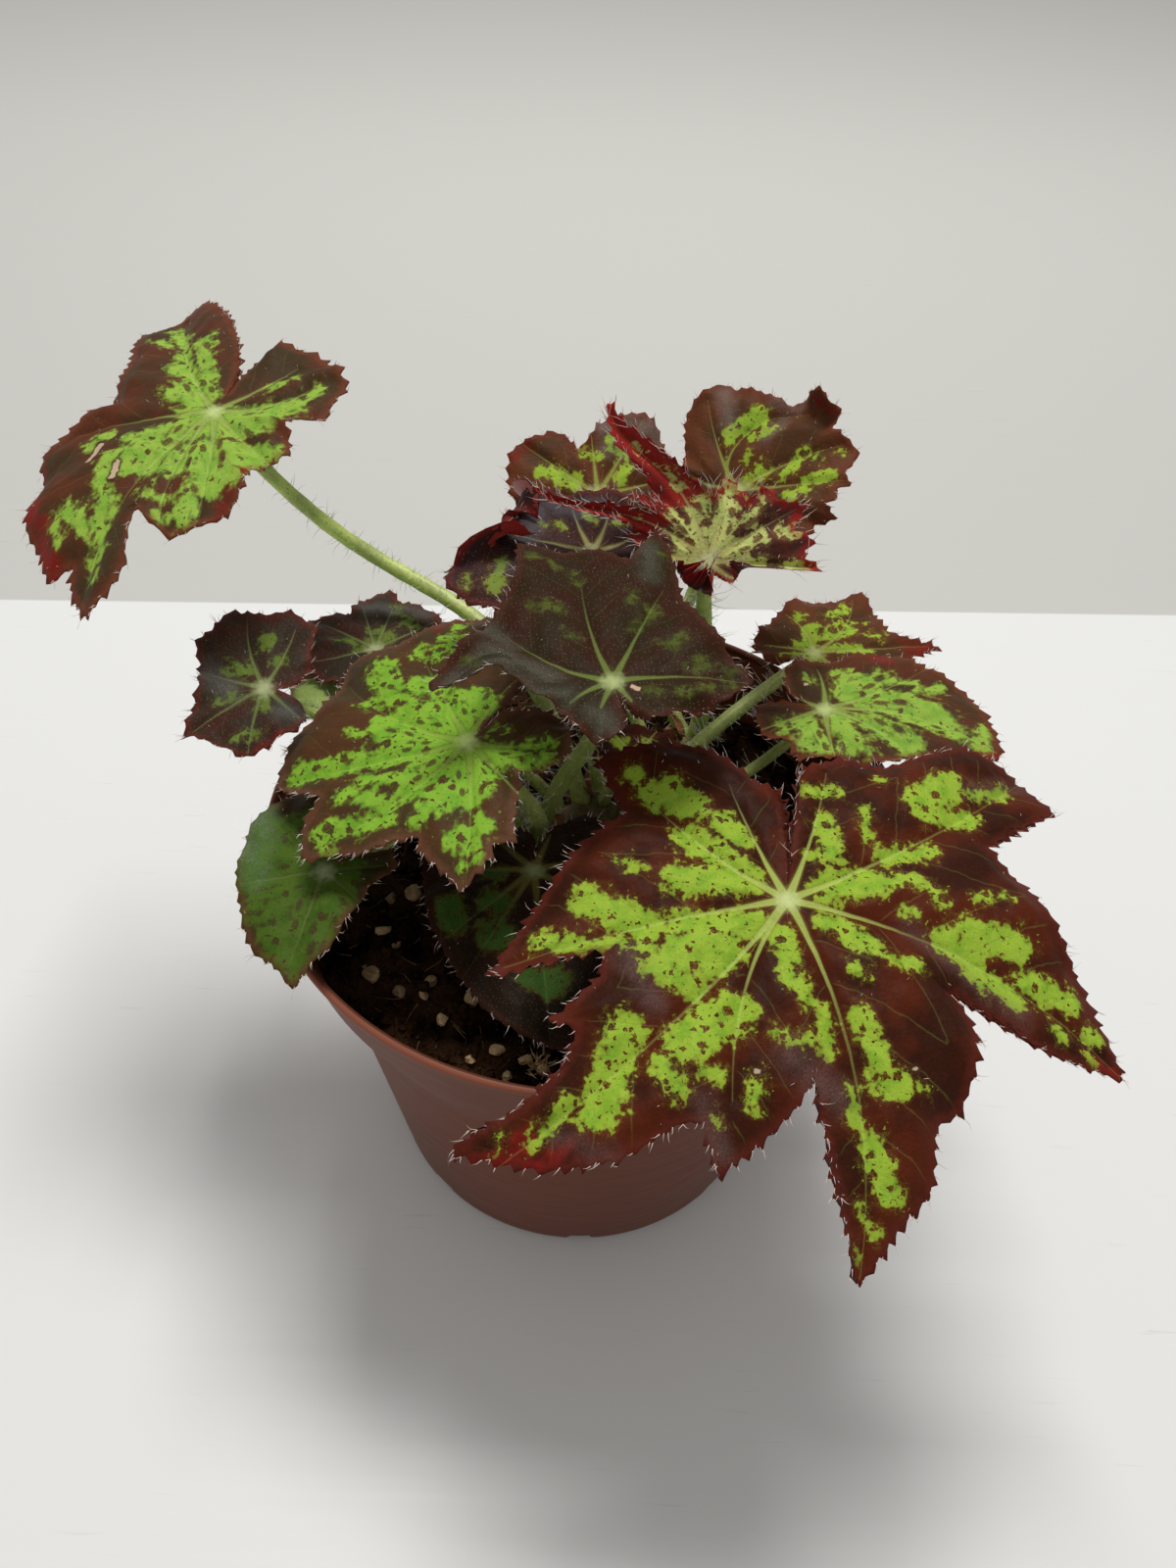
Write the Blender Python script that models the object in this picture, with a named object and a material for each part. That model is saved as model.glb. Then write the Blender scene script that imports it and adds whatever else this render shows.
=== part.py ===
"""A rhizomatous begonia with patterned, palmately lobed leaves in a 12 cm nursery pot.

The pot stands on z = 0 with its axis on z. Soil fills it to a little below the rim, a creeping
rhizome lies on the soil, and every leaf is a petiole (stalk) with a thin blade on its end. Each of
these is one closed solid. All sizes below are millimetres and degrees; the meshes are in metres.

A blade is described in its own flat polar coordinates about the joint, the point where its petiole
meets it. Its outline is a list of (angle, radius) corners: the tips of the lobes, the notches
between them and the shoulders that round them off. Along each ray the blade bends down by the
slopes in its bend table.
"""

import math

import bmesh
import bpy
import numpy as np

MM = 0.001
CLEARANCE = 0.3  # between pieces that touch on the real plant

# Pot: outside profile as (radius, height), from the foot to just under the lip
POT_FOOT_RADIUS = 41.0
POT_PROFILE = ((42.4, 2.0), (50.4, 61.0), (56.4, 77.0), (58.9, 88.6))
POT_WALL = 1.2
POT_FLOOR = 1.6
LIP_CENTRE = (58.8, 90.7)
LIP_RADIUS = 1.3
LIP_TURN = (-60.0, 240.0)  # where the bead of the lip starts and ends
LIP_STEPS = 7
POT_SIDES = 72
FOOT_CHANNELS = 8
CHANNEL_SIDES = 2  # sides of the pot that each channel lifts
CHANNEL_INNER_RADIUS = 32.0
CHANNEL_SLOPE = 1.0
CHANNEL_HEIGHT = 2.0
INNER_FLOOR_RADIUS = 38.6
INNER_CORNER_HEIGHT = 5.0
DRAIN_HOLES = 8
DRAIN_HOLE_RADIUS = 3.0
DRAIN_HOLE_CIRCLE = 24.0
DRAIN_HOLE_SIDES = 12

SOIL_TOP = 78.0
SOIL_EDGE_ROUND = 1.0
SOIL_WALL_GAP = 0.45
SOIL_SIDES = 48

# Rhizome: centre line on the soil as (x, y), and its half-round section
RHIZOME_PATH = ((-15.0, -3.0), (-7.0, 4.0), (4.0, 12.0), (14.0, 21.0), (24.0, 34.0))
RHIZOME_HALF_WIDTH = 4.6
RHIZOME_HEIGHT = 6.0
RHIZOME_SIDES = 10
RHIZOME_STATIONS = 16
RHIZOME_END = 0.12  # the part of the length over which each end rounds off

BLADE_THICKNESS = 0.7
BLADE_RINGS = 4
LARGE_REACH = 50.0  # a blade that reaches further has LARGE_BLADE_RINGS
LARGE_BLADE_RINGS = 6
BEND_STEPS = 24
LONGEST_MARGIN_STEP = 9.0
PETIOLE_SIDES = 8
PETIOLE_STATIONS = 10
PETIOLE_TAPER = 0.8  # radius at the joint over radius at the root
PETIOLE_ROOT_LIFT = 0.25  # how far the root's middle stands off the rhizome, as a part of its radius
PETIOLE_REFERENCE = (0.31, -0.95, 0.05)  # a direction that no petiole takes, which fixes its rings
JOINT_GAP = 0.45
SHARP_ANGLE = 40.0

# Colour and roughness
MATERIALS = {
    "terracotta_plastic": ((0.25, 0.09, 0.06), 0.4),
    "potting_soil": ((0.02, 0.012, 0.008), 0.95),
    "rhizome_bark": ((0.12, 0.10, 0.03), 0.7),
    "petiole_green": ((0.22, 0.30, 0.06), 0.5),
    "blade_maroon": ((0.10, 0.02, 0.015), 0.45),
    "blade_green": ((0.16, 0.34, 0.03), 0.45),
    "blade_dark": ((0.05, 0.03, 0.02), 0.45),
}

# Every leaf:
#   joint    where the petiole meets the blade
#   turn     heading of the midrib, its rise, and the roll about it
#   reach    the radius at which the last column of the bend table holds
#   bend     rows of (angle, slope at the joint, slope at half reach, slope at full reach)
#   outline  (angle, radius) corners, from one side of the notch at the petiole to the other
#   petiole  place along the rhizome (0 to 1), side angle round it, radius at the root, how far the
#            stalk keeps its direction at the root, and the vector from the joint back to its last pull
LEAVES = {
    "front_leaf": {
        "joint": (31, -36, 112), "turn": (-80, -8, 0), "reach": 60, "material": "blade_maroon",
        "bend": ((-180, 0, 2, 8), (-90, 0, 10, 18), (0, 0, 14, 32), (60, 0, 12, 24), (110, 0, 8, 14),
                 (180, 0, 2, 8)),
        "outline": ((-193, 14), (-188, 21), (-178, 26), (-164, 33), (-143, 41), (-133, 30), (-118, 33),
                    (-99, 39), (-84, 47), (-82, 30), (-75, 31), (-70, 41), (-66, 38), (-62, 42),
                    (-60.5, 47), (-59.5, 53), (-58.5, 62), (-54, 57), (-49, 53), (-42, 47), (-36, 39),
                    (-31, 37), (-25, 43), (-18, 37), (-9, 31), (-5, 27), (-3, 40), (-1, 56), (8, 49),
                    (15, 46), (22, 39), (29, 39), (38, 36), (47, 32), (52, 28), (54, 45), (58, 58),
                    (69, 50), (81, 44), (92, 41), (103, 38), (105.5, 47), (107, 56), (115, 54),
                    (126, 49), (138, 35), (150, 31), (160, 26), (163, 15), (165, 5)),
        "petiole": (0.55, -55, 2.0, 22, (-4, 2, -24)),
    },
    "left_high_leaf": {
        "joint": (-70.5, 42.6, 147.3), "turn": (-140, -12, 0), "reach": 45,
        "bend": ((-180, 0, 0, 4), (-60, 0, 6, 20), (0, 0, 8, 30), (60, 0, 6, 20), (180, 0, 0, 4)),
        "material": "blade_green",
        "outline": ((-140, 11), (-131, 20), (-121, 34), (-112, 47), (-103, 45), (-93, 40), (-82, 30),
                    (-61, 25), (-46, 27), (-33, 33), (-21, 34), (-4, 39), (5, 40), (14, 43),
                    (17, 38), (22, 43), (31, 47), (36, 40), (38, 30), (48, 32), (56, 29), (70, 26),
                    (80, 21), (92, 20), (102, 20), (115, 16), (124, 21), (140, 22), (148, 24),
                    (165, 23), (180, 22), (203, 20), (213, 17), (216, 5)),
        "petiole": (0.41, 31, 2.2, 54, (28, 6, -52)),
    },
    "bright_leaf": {
        "joint": (-20.7, -9.9, 118), "turn": (-150, -10, 0), "reach": 42,
        "bend": ((-180, 0, 10, 20), (180, 0, 10, 20)), "material": "blade_green",
        "outline": ((-157, 4), (-150, 12), (-142, 20), (-132, 30), (-120, 36), (-108, 41), (-98, 36),
                    (-88, 35), (-75, 38), (-63, 33), (-51, 32), (-43, 34), (-27, 35), (-18, 30),
                    (-11, 26), (-5, 30), (6, 33), (14, 27), (24, 25), (33, 21), (39, 19), (45, 22),
                    (54, 24), (62, 28), (70, 25), (76, 21), (84, 21), (92, 16), (111, 12), (126, 14),
                    (143, 17), (160, 17), (174, 15), (186, 11), (196, 7)),
        "petiole": (0.15, -12, 1.9, 10, (4, 6, -14)),
    },
    "dark_leaf": {
        "joint": (2.7, -10.7, 133), "turn": (100, 6, 0), "reach": 36,
        "bend": ((-180, 0, 4, 8), (180, 0, 4, 8)), "material": "blade_dark",
        "outline": ((-168, 3), (-158, 7), (-148, 9), (-129, 12), (-106, 18), (-93, 22), (-74, 21),
                    (-50, 22), (-38, 25), (-28, 33), (-20, 41), (-14, 31), (-6, 34), (4, 35),
                    (10, 38), (17, 38), (25, 30), (42, 25), (60, 25), (74, 27), (84, 29), (89, 18),
                    (99, 13), (122, 10), (139, 11), (155, 12), (170, 11), (185, 9), (190, 4)),
        "petiole": (0.24, 10, 1.9, 8, (1, 10, -18)),
    },
    "rim_leaf": {
        "joint": (-43.7, -25.8, 102), "turn": (-120, -8, 0), "reach": 24,
        "bend": ((-180, 0, 7, 14), (180, 0, 7, 14)), "material": "blade_green",
        "outline": ((-187, 14), (-175, 16), (-155, 18), (-130, 20), (-101, 19), (-75, 16), (-55, 15),
                    (-26, 15), (-6, 17), (12, 18), (24, 21), (32, 16), (37, 15), (54, 11), (71, 9),
                    (110, 9), (128, 12), (145, 11), (158, 6), (165, 3)),
        "petiole": (0.08, 20, 1.5, 22, (7, 5, -4)),
    },
    "low_leaf": {
        "joint": (-9.6, -13.4, 90), "turn": (-120, 0, 0), "reach": 36,
        "bend": ((-180, 0, 3, 6), (180, 0, 3, 6)), "material": "blade_dark",
        "outline": ((-152, 3), (-145, 8), (-125, 13), (-105, 20), (-89, 24), (-57, 20), (-28, 21),
                    (-8, 23), (9, 27), (22, 31), (33, 34), (42, 37), (55, 30), (68, 24), (85, 23),
                    (105, 21), (130, 20), (155, 19), (180, 16), (195, 11), (203, 6)),
        "petiole": (0.08, -55, 1.5, 5, (0, 2, -4)),
    },
    "left_small_leaf": {
        "joint": (-58, 3.7, 116), "turn": (-150, -10, -15), "reach": 24,
        "bend": ((-180, 0, 5, 10), (180, 0, 5, 10)), "material": "blade_dark",
        "outline": ((-190, 8), (-175, 9), (-160, 11), (-150, 15), (-129, 17), (-110, 16), (-93, 20),
                    (-80, 17), (-66, 17), (-42, 12), (-22, 12), (-4, 14), (14, 17), (25, 14),
                    (43, 14), (55, 13), (72, 11), (100, 10), (119, 9), (134, 5), (145, 2), (155, 5)),
        "petiole": (0.17, 62, 1.4, 12, (10, 0, -8)),
    },
    "left_back_leaf": {
        "joint": (-43.3, 28, 106), "turn": (120, 0, 0), "reach": 24,
        "bend": ((-180, 0, 5, 10), (180, 0, 5, 10)), "material": "blade_dark",
        "outline": ((-172, 3), (-160, 8), (-135, 11), (-105, 14), (-75, 16), (-61, 18), (-42, 16),
                    (-30, 21), (-19, 20), (-9, 16), (2, 13), (9, 15), (24, 18), (40, 17), (60, 15),
                    (90, 13), (120, 12), (150, 10), (175, 8), (184, 3)),
        "petiole": (0.34, 66, 1.4, 12, (4, -2, -9)),
    },
    "pale_leaf": {
        "joint": (-47.3, 16.6, 103), "turn": (180, 0, 0), "reach": 14,
        "bend": ((-180, 0, 3, 6), (180, 0, 3, 6)), "material": "blade_green",
        "outline": ((-170, 2), (-150, 6), (-110, 8), (-71, 9), (-59, 12), (-38, 11), (-14, 11),
                    (10, 11), (33, 9), (64, 7), (110, 7), (150, 5), (180, 2)),
        "petiole": (0.27, 68, 1.1, 10, (5, 0, -6)),
    },
    "purple_leaf": {
        "joint": (-1.6, 30, 129.2), "turn": (140, 10, 0), "reach": 30,
        "bend": ((-180, 0, 7, 14), (180, 0, 7, 14)), "material": "blade_dark",
        "outline": ((-178, 3), (-165, 9), (-145, 13), (-120, 16), (-92, 17), (-65, 21), (-41, 19),
                    (-20, 20), (0, 23), (21, 18), (36, 21), (52, 25), (64, 28), (73, 26), (84, 22),
                    (105, 18), (130, 16), (155, 12), (172, 8), (178, 3)),
        "petiole": (0.50, 25, 1.8, 16, (0, 2, -14)),
    },
    "young_leaf": {
        "joint": (19.6, 29, 129.2), "turn": (120, 45, -15), "reach": 30,
        "bend": ((-180, 0, 0, 0), (180, 0, 0, 0)), "material": "blade_maroon",
        "outline": ((-165, 3), (-150, 5), (-135, 6), (-118, 14), (-110, 22), (-96, 20), (-78, 22),
                    (-58, 17), (-46, 15), (-28, 17), (-10, 19), (4, 26), (14, 34), (20, 20), (28, 15),
                    (38, 24), (51, 37), (58, 22), (75, 12), (95, 8), (121, 8), (163, 8), (188, 3)),
        "petiole": (0.93, -5, 2.0, 20, (0, 2, -14)),
    },
    "back_right_leaf": {
        "joint": (25.9, 50, 131.4), "turn": (50, 40, 0), "reach": 30,
        "bend": ((-180, 0, 3, 6), (180, 0, 3, 6)), "material": "blade_maroon",
        "outline": ((-172, 3), (-160, 8), (-135, 13), (-110, 16), (-80, 20), (-69, 19), (-64, 22),
                    (-55, 22), (-43, 23), (-29, 21), (-18, 23), (-2, 21), (14, 20), (27, 22),
                    (41, 24), (53, 23), (64, 21), (85, 14), (113, 10), (145, 10), (172, 8), (184, 3)),
        "petiole": (0.95, 45, 1.7, 20, (0, 4, -14)),
    },
    "back_left_leaf": {
        "joint": (-1, 52, 127.8), "turn": (100, 35, 0), "reach": 30,
        "bend": ((-180, 0, 3, 6), (180, 0, 3, 6)), "material": "blade_green",
        "outline": ((-176, 3), (-160, 8), (-135, 11), (-105, 13), (-75, 15), (-46, 19), (-32, 20),
                    (-10, 16), (2, 12), (16, 10), (23, 14), (29, 16), (48, 18), (59, 19), (85, 17),
                    (115, 14), (150, 10), (172, 7), (180, 3)),
        "petiole": (0.78, 45, 1.6, 18, (0, -4, -14)),
    },
    "right_upper_leaf": {
        "joint": (44.8, 38.9, 101), "turn": (20, 5, 0), "reach": 32,
        "bend": ((-180, 0, 7, 14), (180, 0, 7, 14)), "material": "blade_maroon",
        "outline": ((-178, 4), (-160, 8), (-130, 11), (-90, 12), (-55, 13), (-28, 16), (-17, 20),
                    (-11, 27), (-4, 19), (6, 18), (22, 20), (40, 25), (53, 19), (72, 19), (85, 17),
                    (96, 15), (115, 13), (130, 13), (150, 12), (172, 9), (178, 4)),
        "petiole": (0.78, -25, 1.8, 11, (-7, 0, -6)),
    },
    "right_lower_leaf": {
        "joint": (44.1, 18, 104), "turn": (-10, 8, 0), "reach": 36,
        "bend": ((-180, 0, 4, 8), (180, 0, 4, 8)), "material": "blade_green",
        "outline": ((-188, 12), (-166, 13), (-140, 13), (-124, 11), (-104, 14), (-75, 13), (-65, 16),
                    (-45, 18), (-29, 21), (-21, 27), (-15, 33), (-8, 32), (3, 30), (17, 28),
                    (26, 26), (46, 24), (59, 22), (73, 18), (92, 15), (105, 16), (120, 15),
                    (137, 11), (150, 7), (157, 3), (164, 8)),
        "petiole": (0.64, -70, 1.4, 11, (-9, -2, -10)),
    },
    "under_leaf": {
        "joint": (8, 10, 97), "turn": (60, 0, 0), "reach": 20,
        "bend": ((-180, 0, 3, 6), (180, 0, 3, 6)), "material": "blade_maroon",
        "outline": ((-172, 3), (-155, 7), (-133, 8), (-105, 10), (-86, 12), (-60, 11), (-39, 11),
                    (-10, 9), (12, 9), (30, 9), (50, 11), (68, 10), (92, 9), (115, 8), (150, 7),
                    (172, 6), (184, 3)),
        "petiole": (0.47, -10, 1.2, 4, (0, 0, -4)),
    },
}


def smooth_between(x, knots, values):
    """Values at x, eased from knot to knot with a smooth step."""
    left = np.clip(np.searchsorted(knots, x) - 1, 0, len(knots) - 2)
    part = np.clip((x - knots[left]) / (knots[left + 1] - knots[left]), 0.0, 1.0)
    part = part * part * (3.0 - 2.0 * part)
    return values[left] * (1.0 - part) + values[left + 1] * part


def blade_axes(turn):
    """The blade's midrib, its left and its upper normal, as the rows of a matrix."""
    heading, rise, roll = np.radians(turn)
    about_z = np.array([[math.cos(heading), -math.sin(heading), 0],
                        [math.sin(heading), math.cos(heading), 0], [0, 0, 1]])
    about_y = np.array([[math.cos(rise), 0, -math.sin(rise)], [0, 1, 0],
                        [math.sin(rise), 0, math.cos(rise)]])
    about_x = np.array([[1, 0, 0], [0, math.cos(roll), -math.sin(roll)],
                        [0, math.sin(roll), math.cos(roll)]])
    return (about_z @ about_y @ about_x).T


def blade_points(leaf, angle, radius):
    """Points of the upper face, for angles and radii measured along the blade from its joint."""
    angle = np.asarray(angle, float)
    radius = np.asarray(radius, float)
    table = np.array(leaf["bend"], float)
    wrapped = (angle + 180.0) % 360.0 - 180.0
    start, half, full = (smooth_between(wrapped, table[:, 0], table[:, column]) for column in (1, 2, 3))
    part = radius[..., None] * (np.arange(BEND_STEPS) + 0.5) / BEND_STEPS / leaf["reach"]
    squared = 2.0 * (full - 2.0 * half + start)
    linear = 4.0 * half - full - 3.0 * start
    slope = np.radians(start[..., None] + linear[..., None] * part + squared[..., None] * part * part)
    out = radius * np.cos(slope).mean(-1)
    down = radius * np.sin(slope).mean(-1)
    midrib, left, normal = blade_axes(leaf["turn"])
    ray = np.cos(np.radians(angle))[..., None] * midrib + np.sin(np.radians(angle))[..., None] * left
    return np.array(leaf["joint"]) + out[..., None] * ray - down[..., None] * normal


def blade_margin(leaf):
    """The closed outline with long straight sides divided, as angles and radii."""
    angle, radius = np.array(leaf["outline"], float).T
    corners = radius * np.exp(1j * np.radians(angle))
    margin = []
    for here, there in zip(corners, np.roll(corners, -1)):
        pieces = max(1, math.ceil(abs(there - here) / LONGEST_MARGIN_STEP))
        margin.extend(here + (there - here) * np.arange(pieces) / pieces)
    margin = np.array(margin)
    return np.degrees(np.angle(margin)), np.abs(margin)


def add_solid(name, points, faces, material):
    """One named object from points in millimetres, with every face turned outward."""
    mesh = bpy.data.meshes.new(name)
    mesh.from_pydata((np.asarray(points) * MM).tolist(), [], faces)
    shell = bmesh.new()
    shell.from_mesh(mesh)
    bmesh.ops.recalc_face_normals(shell, faces=shell.faces)
    shell.to_mesh(mesh)
    shell.free()
    mesh.shade_smooth()
    mesh.set_sharp_from_angle(angle=math.radians(SHARP_ANGLE))
    mesh.materials.append(material)
    solid = bpy.data.objects.new(name, mesh)
    bpy.context.collection.objects.link(solid)
    return solid


def ring_faces(rings, sides, start=0):
    """Quads that join each ring of points to the next one."""
    quads = []
    for ring in range(rings - 1):
        for side in range(sides):
            here = start + ring * sides
            following = (side + 1) % sides
            quads.append((here + side, here + following, here + sides + following, here + sides + side))
    return quads


def add_blade(name, leaf, material):
    """A sheet of constant thickness: two fans about the joint, closed round the margin."""
    angle, radius = blade_margin(leaf)
    sides = len(angle)
    rings = LARGE_BLADE_RINGS if leaf["reach"] > LARGE_REACH else BLADE_RINGS
    parts = np.arange(1, rings + 1) / rings
    top = blade_points(leaf, np.tile(angle, rings), np.outer(parts, radius).ravel())
    top = np.vstack([np.array(leaf["joint"], float), top])
    bottom = top - BLADE_THICKNESS * blade_axes(leaf["turn"])[2]
    count = len(top)
    faces = []
    for start in (0, count):
        faces += [(start, start + 1 + side, start + 1 + (side + 1) % sides) for side in range(sides)]
        faces += ring_faces(rings, sides, start + 1)
    edge = 1 + (rings - 1) * sides
    for side in range(sides):
        following = (side + 1) % sides
        faces.append((edge + side, edge + following, count + edge + following, count + edge + side))
    add_solid(name, np.vstack([top, bottom]), faces, material)


def rhizome_line(part):
    """The centre line on the soil and its direction, at parts of its length from 0 to 1."""
    knots = np.linspace(0.0, 1.0, len(RHIZOME_PATH))
    curve = np.polyfit(knots, np.array(RHIZOME_PATH), 3)
    place = sum(term * np.asarray(part)[..., None] ** power for power, term in enumerate(curve[::-1]))
    step = sum(power * term * np.asarray(part)[..., None] ** max(power - 1, 0)
               for power, term in enumerate(curve[::-1]))
    return place, step / np.linalg.norm(step, axis=-1, keepdims=True)


def rhizome_surface(part, side):
    """A point of the rhizome's surface and its outward direction; side 0 is its crest."""
    part = np.asarray(part, float)
    side = np.radians(np.asarray(side, float))
    place, along = rhizome_line(part)
    left = np.stack([-along[..., 1], along[..., 0]], -1)
    nearest_end = np.minimum(part, 1.0 - part)
    swell = np.sqrt(np.clip(1.0 - (1.0 - np.clip(nearest_end / RHIZOME_END, 0.05, 1.0)) ** 2, 0.0, 1.0))
    across = RHIZOME_HALF_WIDTH * swell * np.sin(side)
    height = SOIL_TOP + CLEARANCE + RHIZOME_HEIGHT * swell * np.cos(side)
    point = np.concatenate([place + across[..., None] * left, height[..., None]], -1)
    outward = np.concatenate([np.sin(side)[..., None] * left, np.cos(side)[..., None]], -1)
    return point, outward


def add_rhizome(material):
    """A half-round creeping stem with a flat underside on the soil and rounded ends."""
    part, side = np.meshgrid(np.linspace(0, 1, RHIZOME_STATIONS), np.linspace(90, -90, RHIZOME_SIDES),
                             indexing="ij")
    points = rhizome_surface(part, side)[0].reshape(-1, 3)
    faces = ring_faces(RHIZOME_STATIONS, RHIZOME_SIDES)
    faces += [tuple(range(RHIZOME_SIDES)),
              tuple(range(len(points) - RHIZOME_SIDES, len(points)))]
    add_solid("rhizome", points, faces, material)


def petiole_line(leaf):
    """The stalk's centre line from the rhizome to the joint, with its radius at each station."""
    part, side, radius, root_pull, joint_pull = leaf["petiole"]
    root, outward = rhizome_surface(part, side)
    normal = blade_axes(leaf["turn"])[2]
    root = root + (CLEARANCE + radius * PETIOLE_ROOT_LIFT) * outward
    end = np.array(leaf["joint"]) - (BLADE_THICKNESS + JOINT_GAP) * normal
    pulls = (root, root + root_pull * outward, end + np.array(joint_pull, float), end)
    step = np.linspace(0.0, 1.0, PETIOLE_STATIONS)[:, None]
    weights = ((1 - step) ** 3, 3 * step * (1 - step) ** 2, 3 * step ** 2 * (1 - step), step ** 3)
    line = sum(weight * pull for weight, pull in zip(weights, pulls))
    return line, radius * (1.0 + (PETIOLE_TAPER - 1.0) * step[:, 0])


def add_petiole(name, leaf, material):
    """A tapering tube with flat ends, square to its line."""
    line, radius = petiole_line(leaf)
    along = np.gradient(line, axis=0)
    along[0] = line[1] - line[0]
    along[-1] = blade_axes(leaf["turn"])[2]
    along /= np.linalg.norm(along, axis=1, keepdims=True)
    across = np.cross(along, PETIOLE_REFERENCE)
    across /= np.linalg.norm(across, axis=1, keepdims=True)
    third = np.cross(along, across)
    turn = np.arange(PETIOLE_SIDES) * 2.0 * math.pi / PETIOLE_SIDES
    offset = np.cos(turn)[None, :, None] * across[:, None] + np.sin(turn)[None, :, None] * third[:, None]
    points = (line[:, None] + radius[:, None, None] * offset).reshape(-1, 3)
    faces = ring_faces(PETIOLE_STATIONS, PETIOLE_SIDES)
    faces += [tuple(range(PETIOLE_SIDES)), tuple(range(len(points) - PETIOLE_SIDES, len(points)))]
    add_solid(name, points, faces, material)


def turned_points(profile, sides):
    """Rings of points from (radius, height) pairs that start and end on the axis."""
    turn = np.arange(sides) * 2.0 * math.pi / sides
    points = [(0.0, 0.0, profile[0][1])]
    for radius, height in profile[1:-1]:
        points += [(radius * math.cos(a), radius * math.sin(a), height) for a in turn]
    points.append((0.0, 0.0, profile[-1][1]))
    return np.array(points)


def turned_faces(rings, sides):
    """Faces of a turned solid whose first and last points are on the axis."""
    last = 1 + rings * sides
    faces = [(0, 1 + side, 1 + (side + 1) % sides) for side in range(sides)]
    faces += ring_faces(rings, sides, 1)
    faces += [(last, last - sides + side, last - sides + (side + 1) % sides) for side in range(sides)]
    return faces


def pot_inside_radius(height):
    """Radius of the inner face of the pot wall at a height."""
    outer = np.array(POT_PROFILE)
    return np.interp(height, outer[:, 1], outer[:, 0]) - POT_WALL


def add_pot(material):
    """A turned shell with a bead lip, radial channels under the foot and drain holes."""
    lip_turn = np.radians(np.linspace(*LIP_TURN, LIP_STEPS))
    lip = [(LIP_CENTRE[0] + LIP_RADIUS * math.cos(a), LIP_CENTRE[1] + LIP_RADIUS * math.sin(a))
           for a in lip_turn]
    inside = [(pot_inside_radius(height), height) for _, height in POT_PROFILE[:0:-1]]
    step_out = CHANNEL_INNER_RADIUS + CHANNEL_SLOPE
    step_middle = CHANNEL_SLOPE / 2.0
    foot = [(step_out, 0.0), (POT_FOOT_RADIUS, 0.0), POT_PROFILE[0]]
    wall = [*POT_PROFILE[1:], *lip, *inside, (pot_inside_radius(INNER_CORNER_HEIGHT), INNER_CORNER_HEIGHT)]
    floor = [(INNER_FLOOR_RADIUS, POT_FLOOR), (CHANNEL_INNER_RADIUS + step_middle, POT_FLOOR)]
    profile = [(0.0, 0.0), (CHANNEL_INNER_RADIUS, 0.0), *foot, *wall, *floor,
               (CHANNEL_INNER_RADIUS - step_middle, POT_FLOOR), (0.0, POT_FLOOR)]
    points = turned_points(profile, POT_SIDES)
    # Each channel lifts the rings of the foot, and those of the floor above it
    lifted = np.array([False, *[True] * len(foot), *[False] * len(wall), *[True] * len(floor), False])
    ring, side = np.divmod(np.arange(len(points) - 2), POT_SIDES)
    in_channel = lifted[ring] & (side % (POT_SIDES // FOOT_CHANNELS) < CHANNEL_SIDES)
    points[1:-1, 2] += CHANNEL_HEIGHT * in_channel
    pot = add_solid("nursery_pot", points, turned_faces(len(profile) - 2, POT_SIDES), material)
    for hole in range(DRAIN_HOLES):
        turn = (hole + 0.5) * 2.0 * math.pi / DRAIN_HOLES
        bpy.ops.mesh.primitive_cylinder_add(
            vertices=DRAIN_HOLE_SIDES, radius=DRAIN_HOLE_RADIUS * MM, depth=4.0 * POT_FLOOR * MM,
            location=(DRAIN_HOLE_CIRCLE * MM * math.cos(turn), DRAIN_HOLE_CIRCLE * MM * math.sin(turn), 0))
        cutter = bpy.context.object
        cutter.name = f"drain_hole_cutter_{hole + 1}"
        cutter.hide_render = True
        cutter.display_type = "WIRE"
        cut = pot.modifiers.new(f"drain_hole_{hole + 1}", "BOOLEAN")
        cut.object = cutter


def add_soil(material):
    """A plug of soil that fills the pot to SOIL_TOP, clear of the wall and the channels."""
    bottom = POT_FLOOR + CHANNEL_HEIGHT + CLEARANCE
    shoulder = POT_PROFILE[1][1]
    edge = SOIL_TOP - SOIL_EDGE_ROUND
    corner = INNER_CORNER_HEIGHT + SOIL_EDGE_ROUND
    wall = [(pot_inside_radius(height) - SOIL_WALL_GAP, height) for height in (corner, shoulder, edge)]
    profile = [(0.0, bottom), (INNER_FLOOR_RADIUS - SOIL_WALL_GAP, bottom), *wall,
               (wall[-1][0] - SOIL_EDGE_ROUND, SOIL_TOP), (0.0, SOIL_TOP)]
    add_solid("soil", turned_points(profile, SOIL_SIDES),
              turned_faces(len(profile) - 2, SOIL_SIDES), material)


def make_material(name, colour, roughness):
    """A plain Principled material."""
    material = bpy.data.materials.new(name)
    material.use_nodes = True
    shader = material.node_tree.nodes["Principled BSDF"]
    shader.inputs["Base Color"].default_value = (*colour, 1.0)
    shader.inputs["Roughness"].default_value = roughness
    return material


def build():
    """Clear the scene and add the pot, the soil, the rhizome and every leaf with its petiole."""
    for leftover in list(bpy.data.objects):
        bpy.data.objects.remove(leftover, do_unlink=True)
    materials = {name: make_material(name, *look) for name, look in MATERIALS.items()}
    add_pot(materials["terracotta_plastic"])
    add_soil(materials["potting_soil"])
    add_rhizome(materials["rhizome_bark"])
    for name, leaf in LEAVES.items():
        add_petiole(name.replace("_leaf", "_petiole"), leaf, materials["petiole_green"])
        add_blade(name, leaf, materials[leaf["material"]])


if __name__ == "__main__":
    build()
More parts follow.
